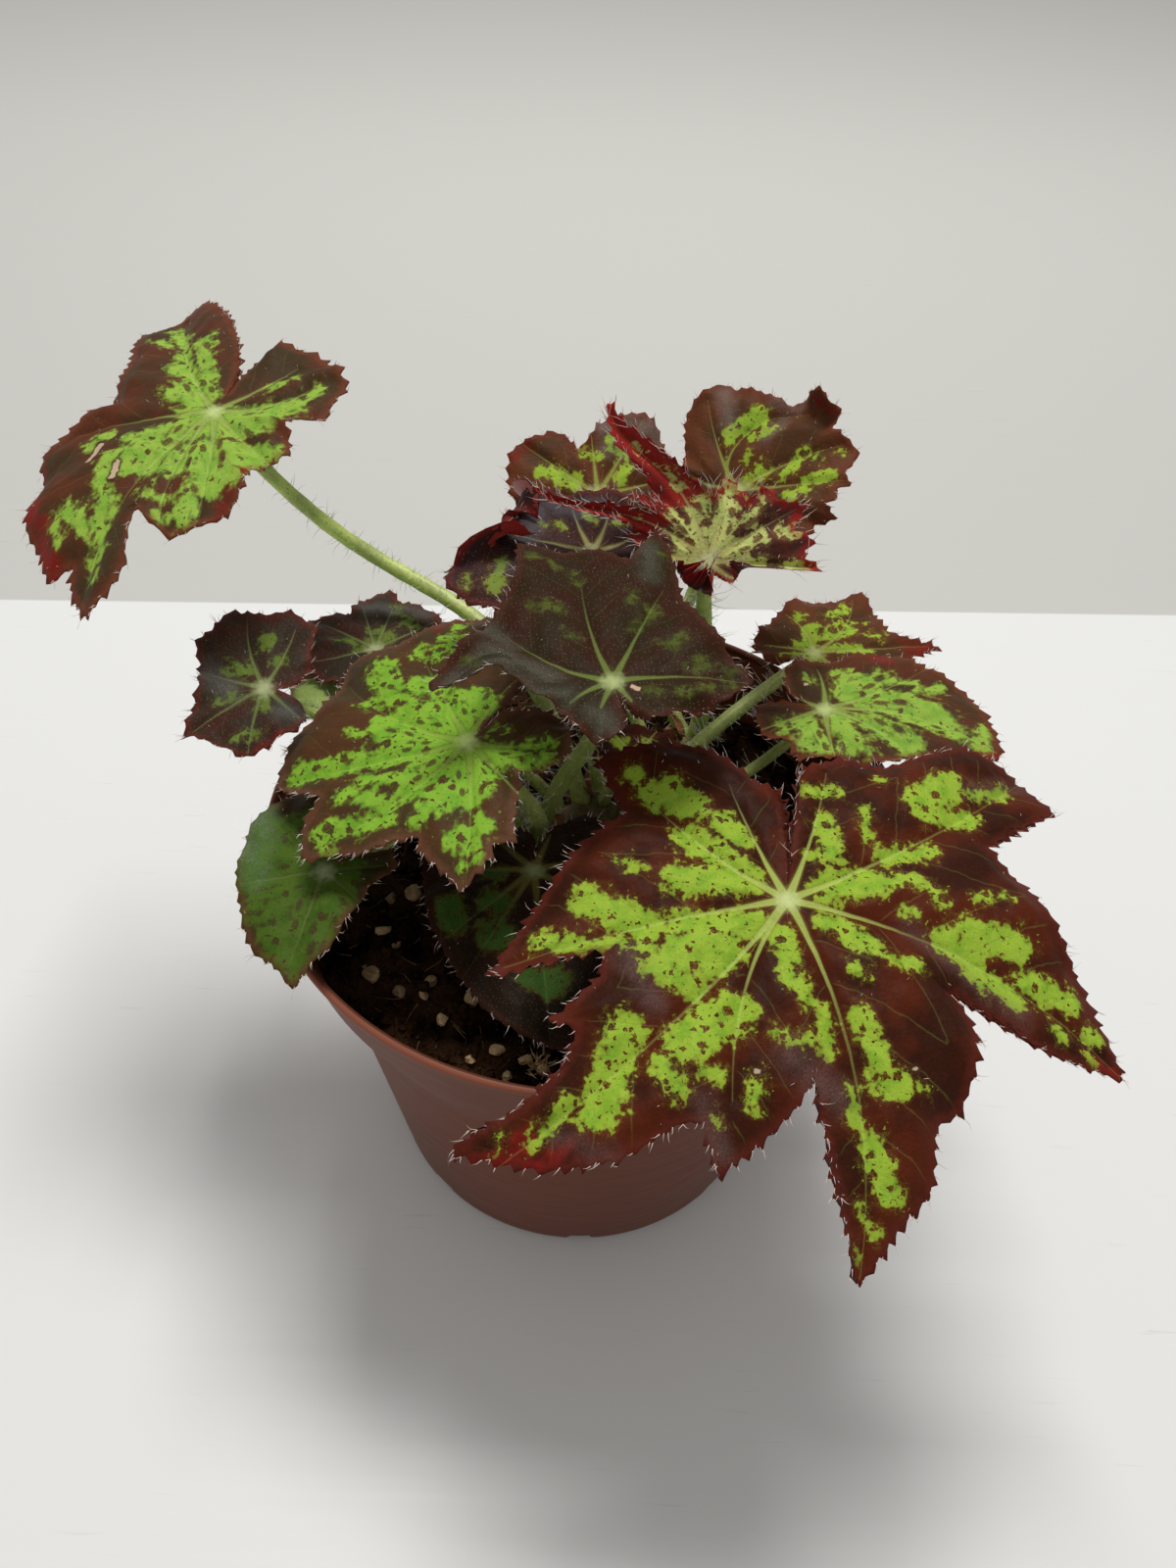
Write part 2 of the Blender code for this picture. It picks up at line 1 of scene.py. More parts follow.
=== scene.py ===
"""Looks of a potted rhizomatous begonia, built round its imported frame.

The plant is one creeping rhizome on the soil of a nursery pot, with sixteen leaves on hairy
stalks. Each leaf blade is a sheet worked out on a polar grid about its joint, the point where its
stalk meets it: the grid is flat at first, takes its teeth, veins and quilting, is folded and curled,
then bends as the frame's blade does. Sizes in the tables are millimetres and degrees, and the
meshes are in metres.
"""

import math

import bpy
import numpy as np
from mathutils import Matrix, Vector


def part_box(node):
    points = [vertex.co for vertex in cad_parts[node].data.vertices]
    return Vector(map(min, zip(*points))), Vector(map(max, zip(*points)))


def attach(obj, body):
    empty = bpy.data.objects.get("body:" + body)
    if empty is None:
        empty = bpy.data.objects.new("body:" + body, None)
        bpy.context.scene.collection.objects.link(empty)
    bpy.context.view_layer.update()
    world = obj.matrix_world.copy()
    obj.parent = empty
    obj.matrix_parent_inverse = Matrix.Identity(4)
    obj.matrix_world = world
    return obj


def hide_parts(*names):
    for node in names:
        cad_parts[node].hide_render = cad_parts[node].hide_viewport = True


bl_info = {
    "name": "Potted Begonia",
    "version": (1, 0, 0),
    "blender": (4, 5, 0),
    "location": "View3D > Sidebar > Begonia",
    "description": "Adds a begonia with patterned, toothed leaves in a nursery pot",
    "category": "Add Mesh",
}

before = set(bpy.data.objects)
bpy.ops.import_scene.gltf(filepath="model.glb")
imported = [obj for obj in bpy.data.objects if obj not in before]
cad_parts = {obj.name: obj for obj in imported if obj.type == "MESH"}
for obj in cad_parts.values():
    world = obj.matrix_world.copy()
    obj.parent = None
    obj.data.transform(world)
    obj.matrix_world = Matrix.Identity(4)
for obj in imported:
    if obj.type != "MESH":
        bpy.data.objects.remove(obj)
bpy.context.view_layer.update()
POT_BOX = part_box("nursery_pot")
SOIL_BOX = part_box("soil")

MM = 0.001
GAP = 0.3  # the frame's clearance between pieces that touch on the plant
SOIL_TOP = SOIL_BOX[1][2] / MM
SOIL_RADIUS = SOIL_BOX[1][0] / MM
RIM_TOP = POT_BOX[1][2] / MM
RIM_RADIUS = POT_BOX[1][0] / MM

# Every leaf:
#   look     which blade material it has
#   joint    where the stalk meets the blade
#   turn     heading of the midrib, its rise, and the roll about it
#   reach    the radius at which the last column of the bend table holds
#   bend     rows of (angle, slope at the joint, slope at half reach, slope at full reach)
#   outline  (angle, radius) corners, from one side of the notch at the stalk to the other
#   stalk    place along the rhizome (0 to 1), side angle round it, radius at the root, how far the
#            stalk keeps its direction at the root, and the vector from the joint back to its last pull
#   veins    main veins as (angle at the joint, angle at the end, length)
#   patches, blush, scorch, bloom
#            lime patches, red flushes, dry scars and painted greyish sheen, where there are any, as
#            strokes:
#            (angle, radius) of both ends and half width
#   hair     how hairy it is; wave, how far its edge waves up and down; teeth, a share of their full height
#   pushes   parts of the blade drawn aside: (angle, radius) from and to, and how far it reaches
#   sweeps   pushes that carry the markings with them
#   folds    lobes whose halves turn up about their vein: (angle, half sector, degrees, start radius)
#   curls    margins that turn up: (angle, half sector, start radius, degrees)
#   ruffles  crimped margins: (angle, half sector, start radius, height, waves in a full turn)
#   slim     the share of its frame girth that the stalk has
LEAVES = {
    "front_leaf": {
        "look": "maroon", "joint": (31, -36, 112), "turn": (-80, -8, 0), "reach": 60,
        "hair": 1.0, "wave": 1.1,
        "stalk": (0.55, -55, 2.0, 22, (-4, 2, -24)),
        "bend": (
            (-180, 0, 2, 8), (-90, 0, 10, 18), (0, 0, 14, 32), (60, 0, 12, 24), (110, 0, 8, 14),
            (180, 0, 2, 8),
        ),
        "outline": (
            (-193, 14), (-188, 21), (-178, 26), (-164, 33), (-143, 41), (-133, 30), (-118, 33), (-99, 39),
            (-84, 47), (-82, 30), (-75, 31), (-70, 41), (-66, 38), (-62, 42), (-60.5, 47), (-59.5, 53),
            (-58.5, 62), (-54, 57), (-49, 53), (-42, 47), (-36, 39), (-31, 37), (-25, 43), (-18, 37),
            (-9, 31), (-5, 27), (-3, 40), (-1, 56), (8, 49), (15, 46), (22, 39), (29, 39), (38, 36),
            (47, 32), (52, 28), (54, 45), (58, 58), (69, 50), (81, 44), (92, 41), (103, 38), (105.5, 47),
            (107, 56), (115, 54), (126, 49), (138, 35), (150, 31), (160, 26), (163, 15), (165, 5),
        ),
        "veins": (
            (-131, -144, 36), (-89, -85, 46), (-46, -57, 60), (-44, -26, 33), (17, -1, 56), (73, 58, 58),
            (107, 115, 55), (146, 152, 28), (-166, -170, 24),
        ),
        "patches": (
            (-145, 34, -141, 27, 1.5), (-147, 27, -149, 22, 2.9), (-135, 19, -137, 13, 2.7),
            (-156, 17, -157, 13, 2.2), (-109, 17, -130, 7, 2.9), (-138, 11, -138, 6, 1.9),
            (-113, 27, -112, 24, 0.9), (-98, 31, -86, 22, 2.8), (-83, 27, -76, 23, 1.4),
            (-89, 39, -84, 30, 1.5), (-84, 17, -60, 7, 2.5), (-70, 19, -58, 14, 3.5),
            (-69, 24, -52, 21, 2.1), (-44, 28, -35, 21, 3.6), (-58, 33, -50, 44, 3.0),
            (-46, 33, -39, 35, 1.6), (-36, 31, -31, 30, 1.0), (-22, 29, -21, 32, 1.3),
            (-29, 36, -28, 36, 0.6), (-56, 46, -55, 53, 1.1), (-59, 56, -58, 57, 0.8),
            (-21, 6, -11, 13, 2.0), (-11, 13, -2, 17, 1.5), (-18, 22, -7, 23, 0.9), (3, 19, 1, 24, 1.3),
            (49, 7, 50, 14, 2.1), (49, 17, 53, 22, 1.1), (30, 14, 30, 16, 1.0), (17, 21, 16, 28, 1.9),
            (14, 31, 19, 32, 1.8), (23, 33, 23, 34, 0.9), (5, 31, 4, 34, 1.2), (6, 38, 7, 45, 2.0),
            (1, 45, 3, 50, 0.6), (-1, 51, -1, 52, 0.4), (104, 7, 97, 15, 2.7), (97, 16, 94, 21, 1.6),
            (90, 24, 84, 24, 1.2), (80, 18, 79, 19, 0.8), (86, 31, 87, 36, 0.8), (146, 17, 130, 12, 1.8),
            (141, 10, 124, 12, 1.2), (133, 23, 124, 19, 1.0), (158, 22, 148, 24, 1.2),
            (135, 31, 134, 31, 0.7), (122, 32, 121, 39, 3.0), (118, 32, 112, 38, 2.2),
            (117, 42, 114, 50, 1.2), (111, 19, 106, 27, 1.7), (70, 25, 66, 29, 2.5), (74, 29, 74, 37, 2.6),
            (62, 31, 61, 37, 2.3), (66, 39, 66, 47, 2.1), (59, 45, 58, 46, 1.2), (62, 51, 62, 52, 1.6),
            (58, 51, 57, 52, 0.6), (80, 38, 80, 38, 0.5),
        ),
        "blush": ((-56, 54, -58, 62, 2.2), (-50, 50, -54, 56, 1.6), (58, 51, 58, 59, 1.0)),
        "scorch": ((-21, 28, -22, 28, 0.3), (24, 31, 25, 31, 0.3)),
        "pushes": ((-58.5, 62, -62, 63, 9),),
        "painted_sheen": (
            (-78, 27, -59, 27, 1.6), (-12, 25, 1, 31, 2.0), (70, 19, 59, 30, 1.0), (59, 30, 57, 39, 1.3),
            (118, 42, 114, 54, 1.0), (-33, 35, -26, 40, 1.3), (-53, 50, -44, 48, 1.0),
            (-172, 21, -170, 24, 0.6),
        ),
    },
    "left_high_leaf": {
        "look": "bright", "joint": (-70.5, 42.6, 147.3), "turn": (-140, -12, 0), "reach": 45,
        "hair": 1.0, "wave": 1.0, "slim": 0.76,
        "stalk": (0.41, 31, 2.2, 54, (28, 6, -52)),
        "bend": ((-180, 0, 0, 4), (-60, 0, 6, 20), (0, 0, 8, 30), (60, 0, 6, 20), (180, 0, 0, 4)),
        "outline": (
            (-140, 11), (-131, 20), (-121, 34), (-112, 47), (-103, 45), (-93, 40), (-82, 30), (-61, 25),
            (-46, 27), (-33, 33), (-21, 34), (-4, 39), (5, 40), (14, 43), (17, 38), (22, 43), (31, 47),
            (36, 40), (38, 30), (48, 32), (56, 29), (70, 26), (80, 21), (92, 20), (102, 20), (115, 16),
            (124, 21), (140, 22), (148, 24), (165, 23), (180, 22), (203, 20), (213, 17), (216, 5),
        ),
        "veins": (
            (-96, -107, 42), (128, 156, 20), (9, 27, 45), (60, 55, 28), (26, 42, 30), (84, 90, 20),
            (-45, -38, 28), (175, 180, 18),
        ),
        "patches": (
            (-104, 37, -102, 20, 1.5), (-113, 25, -103, 5, 1.9), (-96, 33, -98, 30, 1.0),
            (-98, 19, -64, 5, 2.6), (-76, 13, -68, 9, 1.4), (26, 4, 115, 10, 4.4), (-13, 15, 15, 4, 2.6),
            (-26, 23, -29, 20, 1.4), (-3, 20, 42, 11, 3.5), (10, 15, 87, 18, 4.2), (88, 6, 131, 14, 3.8),
            (169, 11, 168, 15, 1.4), (131, 15, 150, 19, 1.5), (64, 20, 79, 20, 3.1), (51, 22, 50, 27, 2.0),
            (54, 16, 58, 21, 2.3), (41, 27, 45, 27, 1.2), (29, 22, 37, 23, 1.2), (-1, 22, 17, 28, 1.8),
            (2, 32, 14, 32, 1.8), (5, 35, 10, 37, 0.8), (17, 30, 25, 36, 1.8), (27, 39, 29, 40, 0.6),
        ),
        "blush": ((-12, 36, 20, 44, 2.0), (60, 28, 80, 20, 0.8)),
        "scorch": ((-22, 21, -14, 23.5, 0.7), (-1, 19.5, 6, 22, 0.6)),
        "pushes": ((38, 30, 29, 26, 5.5),),
    },
    "bright_leaf": {
        "look": "olive", "joint": (-20.7, -9.9, 118), "turn": (-150, -10, 0), "reach": 42,
        "hair": 1.2, "wave": 0.9, "teeth": 0.9,
        "stalk": (0.15, -12, 1.9, 10, (4, 6, -14)),
        "bend": ((-180, 0, 10, 20), (180, 0, 10, 20)),
        "outline": (
            (-157, 4), (-150, 12), (-142, 20), (-132, 30), (-120, 36), (-108, 41), (-98, 36), (-88, 35),
            (-75, 38), (-63, 33), (-51, 32), (-43, 34), (-27, 35), (-18, 30), (-11, 26), (-5, 30), (6, 33),
            (14, 27), (24, 25), (33, 21), (39, 19), (45, 22), (54, 24), (62, 28), (70, 25), (76, 21),
            (84, 21), (92, 16), (111, 12), (126, 14), (143, 17), (160, 17), (174, 15), (186, 11), (196, 7),
        ),
        "veins": (
            (-17, -26, 34), (69, 63, 27), (128, 153, 17), (25, 5, 31), (-94, -95, 33), (-48, -70, 34),
            (-135, -145, 18), (100, 100, 16),
        ),
        "patches": (
            (-79, 29, -74, 21, 2.7), (-65, 22, -74, 18, 1.8), (-63, 24, -64, 23, 1.4),
            (-84, 18, -93, 15, 2.7), (-51, 15, -72, 4, 4.3), (-27, 31, -26, 23, 2.3),
            (-26, 23, -21, 13, 2.0), (-23, 13, 29, 2, 3.0), (-6, 22, 11, 17, 1.7), (3, 28, 17, 19, 1.8),
            (14, 18, 22, 19, 1.4), (8, 29, 10, 28, 0.9), (19, 11, 68, 7, 4.5), (37, 13, 67, 11, 3.3),
            (58, 19, 72, 17, 2.0), (61, 21, 66, 20, 1.5), (61, 24, 62, 24, 0.8), (68, 24, 69, 23, 0.6),
            (97, 4, 119, 7, 2.9), (121, 8, 147, 13, 1.5), (115, 11, 134, 14, 1.3),
            (-103, 26, -108, 29, 2.6), (-110, 34, -110, 36, 1.4), (-93, 27, -95, 30, 1.3),
            (-93, 10, -126, 9, 3.7), (-93, 19, -101, 17, 1.4), (35, 17, 42, 15, 1.0),
            (-178, 4, 176, 6, 0.8), (-10, 18, 15, 11, 1.7), (-42, 21, -44, 16, 1.0),
            (-64, 15, -80, 12, 2.1),
        ),
        "blush": ((-25, 37, -10, 34, 1.5), (-110, 38, -104, 36, 1.5)),
    },
    "dark_leaf": {
        "look": "dark", "joint": (2.7, -10.7, 133), "turn": (100, 6, 0), "reach": 36,
        "hair": 0.8, "wave": 0.9, "teeth": 0.6,
        "stalk": (0.24, 10, 1.9, 8, (1, 10, -18)),
        "bend": ((-180, 0, 4, 8), (180, 0, 4, 8)),
        "outline": (
            (-168, 3), (-158, 7), (-148, 9), (-129, 12), (-106, 18), (-93, 22), (-74, 21), (-50, 22),
            (-38, 25), (-28, 33), (-20, 41), (-14, 31), (-6, 34), (4, 35), (10, 38), (17, 38), (25, 30),
            (42, 25), (60, 25), (74, 27), (84, 29), (89, 18), (99, 13), (122, 10), (139, 11), (155, 12),
            (170, 11), (185, 9), (190, 4),
        ),
        "veins": (
            (13, 3, 26), (-28, -29, 26), (70, 48, 22), (-80, -95, 22), (102, 114, 8), (152, 152, 6),
            (-150, -150, 5),
        ),
        "patches": (
            (-81, 14.5, -81, 15.5, 1.6), (-103, 10.5, -109, 12.2, 0.6), (-100, 14, -100, 15.2, 0.9),
            (-98, 18.2, -98, 19, 0.8), (-88, 18.4, -88, 18.8, 0.6), (-56, 12.8, -56, 14.4, 1.3),
            (73, 22, 73, 23.4, 0.9), (11, 30.5, 11, 32, 0.8), (5, 24.8, 5, 27.4, 0.7),
            (15, 33.5, 15, 34.2, 0.7), (28, 21, 20, 18.5, 1.0), (25, 11, 25, 13, 0.7),
            (-18, 18.5, -18, 22, 0.6), (-25, 12.5, -25, 14.5, 0.6), (-30, 17.2, -30, 19, 1.1),
            (-24, 33.8, -24, 35, 0.8), (-115, 6, -115, 7, 0.8),
        ),
        "scorch": ((-112, 3.2, -118, 4.0, 0.4),),
        "pushes": ((90, 18, 71, 19, 6),),
        "painted_sheen": (
            (84, 25, 66, 20, 2.0), (66, 20, 78, 10, 2.0), (88, 13, 105, 8, 1.5), (57, 18, 50, 24, 1.5),
            (-19, 36, -23, 27, 1.4), (150, 7, 165, 9, 1.5),
        ),
    },
    "rim_leaf": {
        "look": "plain", "joint": (-43.7, -25.8, 102), "turn": (-120, -8, 0), "reach": 24,
        "hair": 0.8, "wave": 0.4, "teeth": 0.5,
        "stalk": (0.08, 20, 1.5, 22, (7, 5, -4)),
        "bend": ((-180, 0, 7, 14), (180, 0, 7, 14)),
        "outline": (
            (-187, 14), (-175, 16), (-155, 18), (-130, 20), (-101, 19), (-75, 16), (-55, 15), (-26, 15),
            (-6, 17), (12, 18), (24, 21), (32, 16), (37, 15), (54, 11), (71, 9), (110, 9), (128, 12),
            (145, 11), (158, 6), (165, 3),
        ),
        "veins": (
            (19, 19, 20), (-53, -53, 15), (-110, -110, 18), (80, 80, 9), (-160, -160, 15), (130, 130, 10),
        ),
        "patches": (
            (-13, 6, 16, 14, 5.6), (-97, 12, -66, 7, 5.0), (171, 3, 43, 5, 4.6), (-140, 10, -120, 10, 5.0),
            (-60, 13, -30, 13, 3.5), (20, 15, 36, 11, 2.5),
        ),
        "painted_sheen": ((-99, 20, -82, 15, 4.5), (-82, 15, -60, 12, 3.0)),
    },
    "low_leaf": {
        "look": "shade", "joint": (-9.6, -13.4, 90), "turn": (-120, 0, 0), "reach": 36,
        "hair": 0.9, "wave": 0.4, "teeth": 0.6,
        "stalk": (0.08, -55, 1.5, 5, (0, 2, -4)),
        "bend": ((-180, 0, 3, 6), (180, 0, 3, 6)),
        "outline": (
            (-152, 3), (-145, 8), (-125, 13), (-105, 20), (-89, 24), (-57, 20), (-28, 21), (-8, 23),
            (9, 27), (22, 31), (33, 34), (42, 37), (55, 30), (68, 24), (85, 23), (105, 21), (130, 20),
            (155, 19), (180, 16), (195, 11), (203, 6),
        ),
        "veins": (
            (-13, -13, 23), (6, 6, 28), (38, 38, 36), (-60, -60, 20), (-105, -105, 20), (90, 90, 21),
            (140, 140, 19), (-165, -165, 10),
        ),
        "patches": (
            (-27, 17, -17, 18, 2.4), (-13, 10, -8, 10, 2.7), (7, 16, 11, 16, 3.1), (33, 23, 41, 24, 2.9),
            (-56, 8, -51, 7, 1.7), (60, 12, 80, 14, 2.5),
        ),
    },
    "left_small_leaf": {
        "look": "dusky", "joint": (-58, 3.7, 116), "turn": (-150, -10, -15), "reach": 24,
        "hair": 0.9, "wave": 0.6, "teeth": 0.7,
        "stalk": (0.17, 62, 1.4, 12, (10, 0, -8)),
        "bend": ((-180, 0, 5, 10), (180, 0, 5, 10)),
        "outline": (
            (-190, 8), (-175, 9), (-160, 11), (-150, 15), (-129, 17), (-110, 16), (-93, 20), (-80, 17),
            (-66, 17), (-42, 12), (-22, 12), (-4, 14), (14, 17), (25, 14), (43, 14), (55, 13), (72, 11),
            (100, 10), (119, 9), (134, 5), (145, 2), (155, 5),
        ),
        "veins": (
            (-88, -101, 18), (-41, -48, 13), (0, 8, 15), (47, 54, 13), (-145, -135, 14), (110, 110, 9),
        ),
        "patches": (
            (-63, 8, -79, 5, 1.3), (-113, 9, -118, 10, 1.3), (-135, 6, -139, 6, 1.1),
            (-13, 8, -10, 5, 1.0), (42, 10, 55, 9, 1.0), (46, 3, 60, 3, 1.0),
        ),
        "blush": ((50, 14, 110, 12, 0.6),),
        "curls": ((30, 25, 10.5, 35),),
        "painted_sheen": ((-20, 6, -50, 12, 2.0), (100, 6, 130, 10, 1.5)),
    },
    "left_back_leaf": {
        "look": "dusky", "joint": (-43.3, 28, 106), "turn": (120, 0, 0), "reach": 24,
        "hair": 0.9, "wave": 0.6, "teeth": 0.8,
        "stalk": (0.34, 66, 1.4, 12, (4, -2, -9)),
        "bend": ((-180, 0, 5, 10), (180, 0, 5, 10)),
        "outline": (
            (-172, 3), (-160, 8), (-135, 11), (-105, 14), (-75, 16), (-61, 18), (-42, 16), (-30, 21),
            (-19, 20), (-9, 16), (2, 13), (9, 15), (24, 18), (40, 17), (60, 15), (90, 13), (120, 12),
            (150, 10), (175, 8), (184, 3),
        ),
        "veins": (
            (24, 24, 17), (-11, -11, 16), (-35, -35, 20), (-75, -75, 15), (80, 80, 13), (-120, -120, 12),
            (140, 140, 10),
        ),
        "patches": (
            (-51, 4, 37, 3, 1.7), (-57, 11, -64, 10, 1.4), (-39, 15, -42, 14, 1.5), (42, 8, 36, 6, 1.0),
            (-21, 6, -23, 6, 1.4),
        ),
        "blush": ((30, 17, 60, 14, 1.5),),
        "painted_sheen": ((-60, 15, -10, 16, 1.5),),
    },
    "pale_leaf": {
        "look": "pale", "joint": (-47.3, 16.6, 103), "turn": (180, 0, 0), "reach": 14,
        "hair": 1.0, "wave": 0.3,
        "stalk": (0.27, 68, 1.1, 10, (5, 0, -6)),
        "bend": ((-180, 0, 3, 6), (180, 0, 3, 6)),
        "outline": (
            (-170, 2), (-150, 6), (-110, 8), (-71, 9), (-59, 12), (-38, 11), (-14, 11), (10, 11), (33, 9),
            (64, 7), (110, 7), (150, 5), (180, 2),
        ),
        "veins": ((0, 0, 11), (-60, -60, 11), (60, 60, 7), (-120, -120, 8), (120, 120, 6)),
        "patches": ((0, 2, -10, 7, 3.5), (-60, 4, -60, 8, 3.0), (60, 2, 60, 5, 2.5)),
    },
    "purple_leaf": {
        "look": "purple", "joint": (-1.6, 30, 129.2), "turn": (140, 10, 0), "reach": 30,
        "hair": 1.3, "wave": 0.8,
        "stalk": (0.5, 25, 1.8, 16, (0, 2, -14)),
        "bend": ((-180, 0, 7, 14), (180, 0, 7, 14)),
        "outline": (
            (-178, 3), (-165, 9), (-145, 13), (-120, 16), (-92, 17), (-65, 21), (-41, 19), (-20, 20),
            (0, 23), (21, 18), (36, 21), (52, 25), (64, 28), (73, 26), (84, 22), (105, 18), (130, 16),
            (155, 12), (172, 8), (178, 3),
        ),
        "veins": (
            (-27, -35, 19), (-69, -60, 19), (30, 28, 19), (-109, -94, 14), (59, 67, 26), (-145, -145, 12),
            (115, 115, 15),
        ),
        "patches": (
            (57, 17, 72, 20, 1.4), (63, 24, 68, 25, 0.5), (-4, 9, -4, 8, 0.8), (9, 11, 2, 10, 0.4),
            (-44, 11, -48, 10, 1.0), (25, 16, 25, 15, 0.6), (-75, 11, -79, 13, 0.7),
            (-41, 13, -42, 13, 0.4),
        ),
        "blush": ((10, 22, 48, 25, 2.5),),
        "curls": ((24, 32, 16.5, 150),),
        "painted_sheen": ((-20, 14, -60, 14, 2.5), (0, 14, 30, 12, 2.0), (60, 17, 70, 14, 1.0)),
    },
    "young_leaf": {
        "look": "young", "joint": (19.6, 29, 129.2), "turn": (120, 45, -15), "reach": 30,
        "hair": 3.0, "wave": 1.0,
        "stalk": (0.93, -5, 2.0, 20, (0, 2, -14)),
        "bend": ((-180, 0, 0, 0), (140, 0, 0, 0), (151, 30, 80, 110), (162, 0, 0, 0)),
        "outline": (
            (-168, 3), (-150, 7), (-137, 9), (-122, 15), (-112, 21), (-105, 17.5), (-97, 20), (-88, 17),
            (-79, 22), (-68, 17), (-60, 18), (-52, 13), (-40, 17), (-28, 12), (-18, 15), (-14, 24),
            (-8, 34), (-2, 25), (4, 17), (10, 13), (16, 18), (21, 12), (25, 20), (30, 33), (36, 21),
            (42, 12), (50, 14), (58, 10), (70, 11), (85, 8), (98, 10), (112, 8), (128, 10), (140, 9),
            (150, 14), (160, 9), (172, 5), (184, 3),
        ),
        "veins": (
            (-8, -8, 33), (30, 30, 32), (-40, -40, 15), (-76, -78, 20), (-108, -112, 20), (65, 60, 9),
            (150, 150, 11), (-150, -140, 7),
        ),
        "patches": (
            (-8, 3, -8, 12, 1.1), (-10, 15, -11, 20, 0.7), (-9, 24, -9, 27, 0.4), (30, 3, 30, 9, 0.9),
            (30, 14, 31, 17, 0.3), (-40, 3, -40, 15, 1.9), (-28, 4, -22, 12, 1.2), (-60, 4, -56, 9, 1.2),
            (-80, 4, -84, 11, 1.4), (-86, 15, -88, 17, 1.3), (-66, 11, -64, 15, 1.1),
            (-100, 5, -106, 10, 1.1), (-111, 14, -112, 18, 1.0), (10, 4, 10, 10, 1.1), (55, 3, 60, 7, 1.4),
        ),
        "blush": (
            (-6, 13, -8, 34, 3.0), (28, 12, 30, 33, 3.0), (-95, 22, -120, 18, 0.8),
            (-62, 18, -95, 21, 1.1), (-42, 16, -55, 14, 0.8), (90, 9, 150, 13, 2.5),
        ),
        "folds": ((-8, 16, 42, 13), (30, 14, 42, 9)),
        "curls": ((120, 60, 4.5, 115), (-152, 42, 4.5, 105)),
        "sweeps": ((-8, 34, 13, 34, 15), (30, 33, 48, 33, 15)),
        "ruffles": ((-138, 32, 5, 1.1, 30), (118, 56, 4, 1.0, 34)),
    },
    "back_right_leaf": {
        "look": "warm", "joint": (25.9, 50, 131.4), "turn": (50, 40, 0), "reach": 30,
        "hair": 1.2, "wave": 0.8, "teeth": 0.55,
        "stalk": (0.95, 45, 1.7, 20, (0, 4, -14)),
        "bend": ((-180, 0, 3, 6), (180, 0, 3, 6)),
        "outline": (
            (-172, 3), (-160, 8), (-135, 13), (-110, 16), (-95, 18), (-88, 17), (-81, 20.5), (-75, 18),
            (-70, 20), (-65, 19.2), (-62, 22), (-57, 20.6), (-50, 22.4), (-44, 23.4), (-36, 22.1),
            (-29, 20.9), (-24, 24), (-14, 26), (-6, 23), (-1, 19.6), (7, 19.4), (18, 20.5), (27, 21.9),
            (35, 22.3), (42, 24.4), (49, 23.6), (56, 22.8), (64, 21.3), (85, 14), (113, 10), (145, 10),
            (172, 8), (184, 3),
        ),
        "veins": (
            (83, -15, 20), (-30, -40, 22), (-60, -60, 21), (-105, -105, 16), (110, 95, 12), (60, 50, 22),
            (160, 160, 9),
        ),
        "patches": (
            (38, 12, 18, 15.5, 2.2), (18, 15.5, 3, 13.6, 1.2), (20, 11, 5, 12, 0.8),
            (-21, 3.2, -22, 6.7, 1.3), (-44, 9.6, -35, 14.6, 1.2), (-57, 13.4, -58, 18.2, 1.2),
            (-40, 15.8, -40, 16.6, 0.9), (16, 6, 14, 7.2, 0.8), (-74, 10.3, -66, 13.2, 1.2),
            (-43, 20.7, -45, 20.9, 0.5),
        ),
        "blush": ((-22, 22.5, -8, 23.5, 1.0),),
        "curls": ((-14, 12, 19.5, 50),),
        "painted_sheen": ((41, 22, 39, 14, 1.4), (10, 19, -4, 19.5, 0.6), (3, 11, -2, 16, 0.8)),
    },
    "back_left_leaf": {
        "look": "warm", "joint": (-1, 52, 127.8), "turn": (100, 35, 0), "reach": 30,
        "hair": 1.0, "wave": 0.6, "teeth": 0.7,
        "stalk": (0.78, 45, 1.6, 18, (0, -4, -14)),
        "bend": ((-180, 0, 3, 6), (180, 0, 3, 6)),
        "outline": (
            (-176, 3), (-160, 8), (-135, 11), (-105, 13), (-75, 15), (-46, 19), (-32, 20), (-10, 16),
            (2, 12), (16, 10), (23, 14), (29, 16), (48, 18), (59, 19), (85, 17), (115, 14), (150, 10),
            (172, 7), (180, 3),
        ),
        "veins": ((-35, -35, 20), (0, 0, 13), (50, 50, 19), (-80, -80, 15), (95, 95, 16), (-130, -130, 11)),
        "patches": (
            (-18, 12, -22, 10, 0.9), (-26, 11, -34, 10, 1.2), (13, 9, -11, 8, 0.8), (9, 10, 3, 10, 0.5),
            (50, 5, 60, 12, 1.6), (-60, 6, -50, 8, 1.2),
        ),
        "blush": ((50, 17, 59, 18, 1.2),),
        "painted_sheen": ((1, 16, -46, 18.5, 2.2), (-18, 10, -45, 12.5, 1.5)),
    },
    "right_upper_leaf": {
        "look": "warm", "joint": (44.8, 38.9, 101), "turn": (20, 5, 0), "reach": 32,
        "hair": 1.6, "wave": 0.7,
        "stalk": (0.78, -25, 1.8, 11, (-7, 0, -6)),
        "bend": ((-180, 0, 7, 14), (180, 0, 7, 14)),
        "outline": (
            (-178, 4), (-160, 8), (-130, 11), (-90, 12), (-55, 13), (-28, 16), (-17, 20), (-11, 27),
            (-4, 19), (6, 18), (22, 20), (40, 25), (53, 19), (72, 19), (85, 17), (96, 15), (115, 13),
            (130, 13), (150, 12), (172, 9), (178, 4),
        ),
        "veins": (
            (18, 42, 22), (-12, -10, 25), (70, 88, 15), (133, 139, 11), (-70, -70, 13), (-130, -130, 11),
        ),
        "patches": (
            (68, 7.5, 100, 2.1, 2.2), (36, 7.5, 25, 10.7, 2.2), (31, 12.8, 28, 12.8, 1.2),
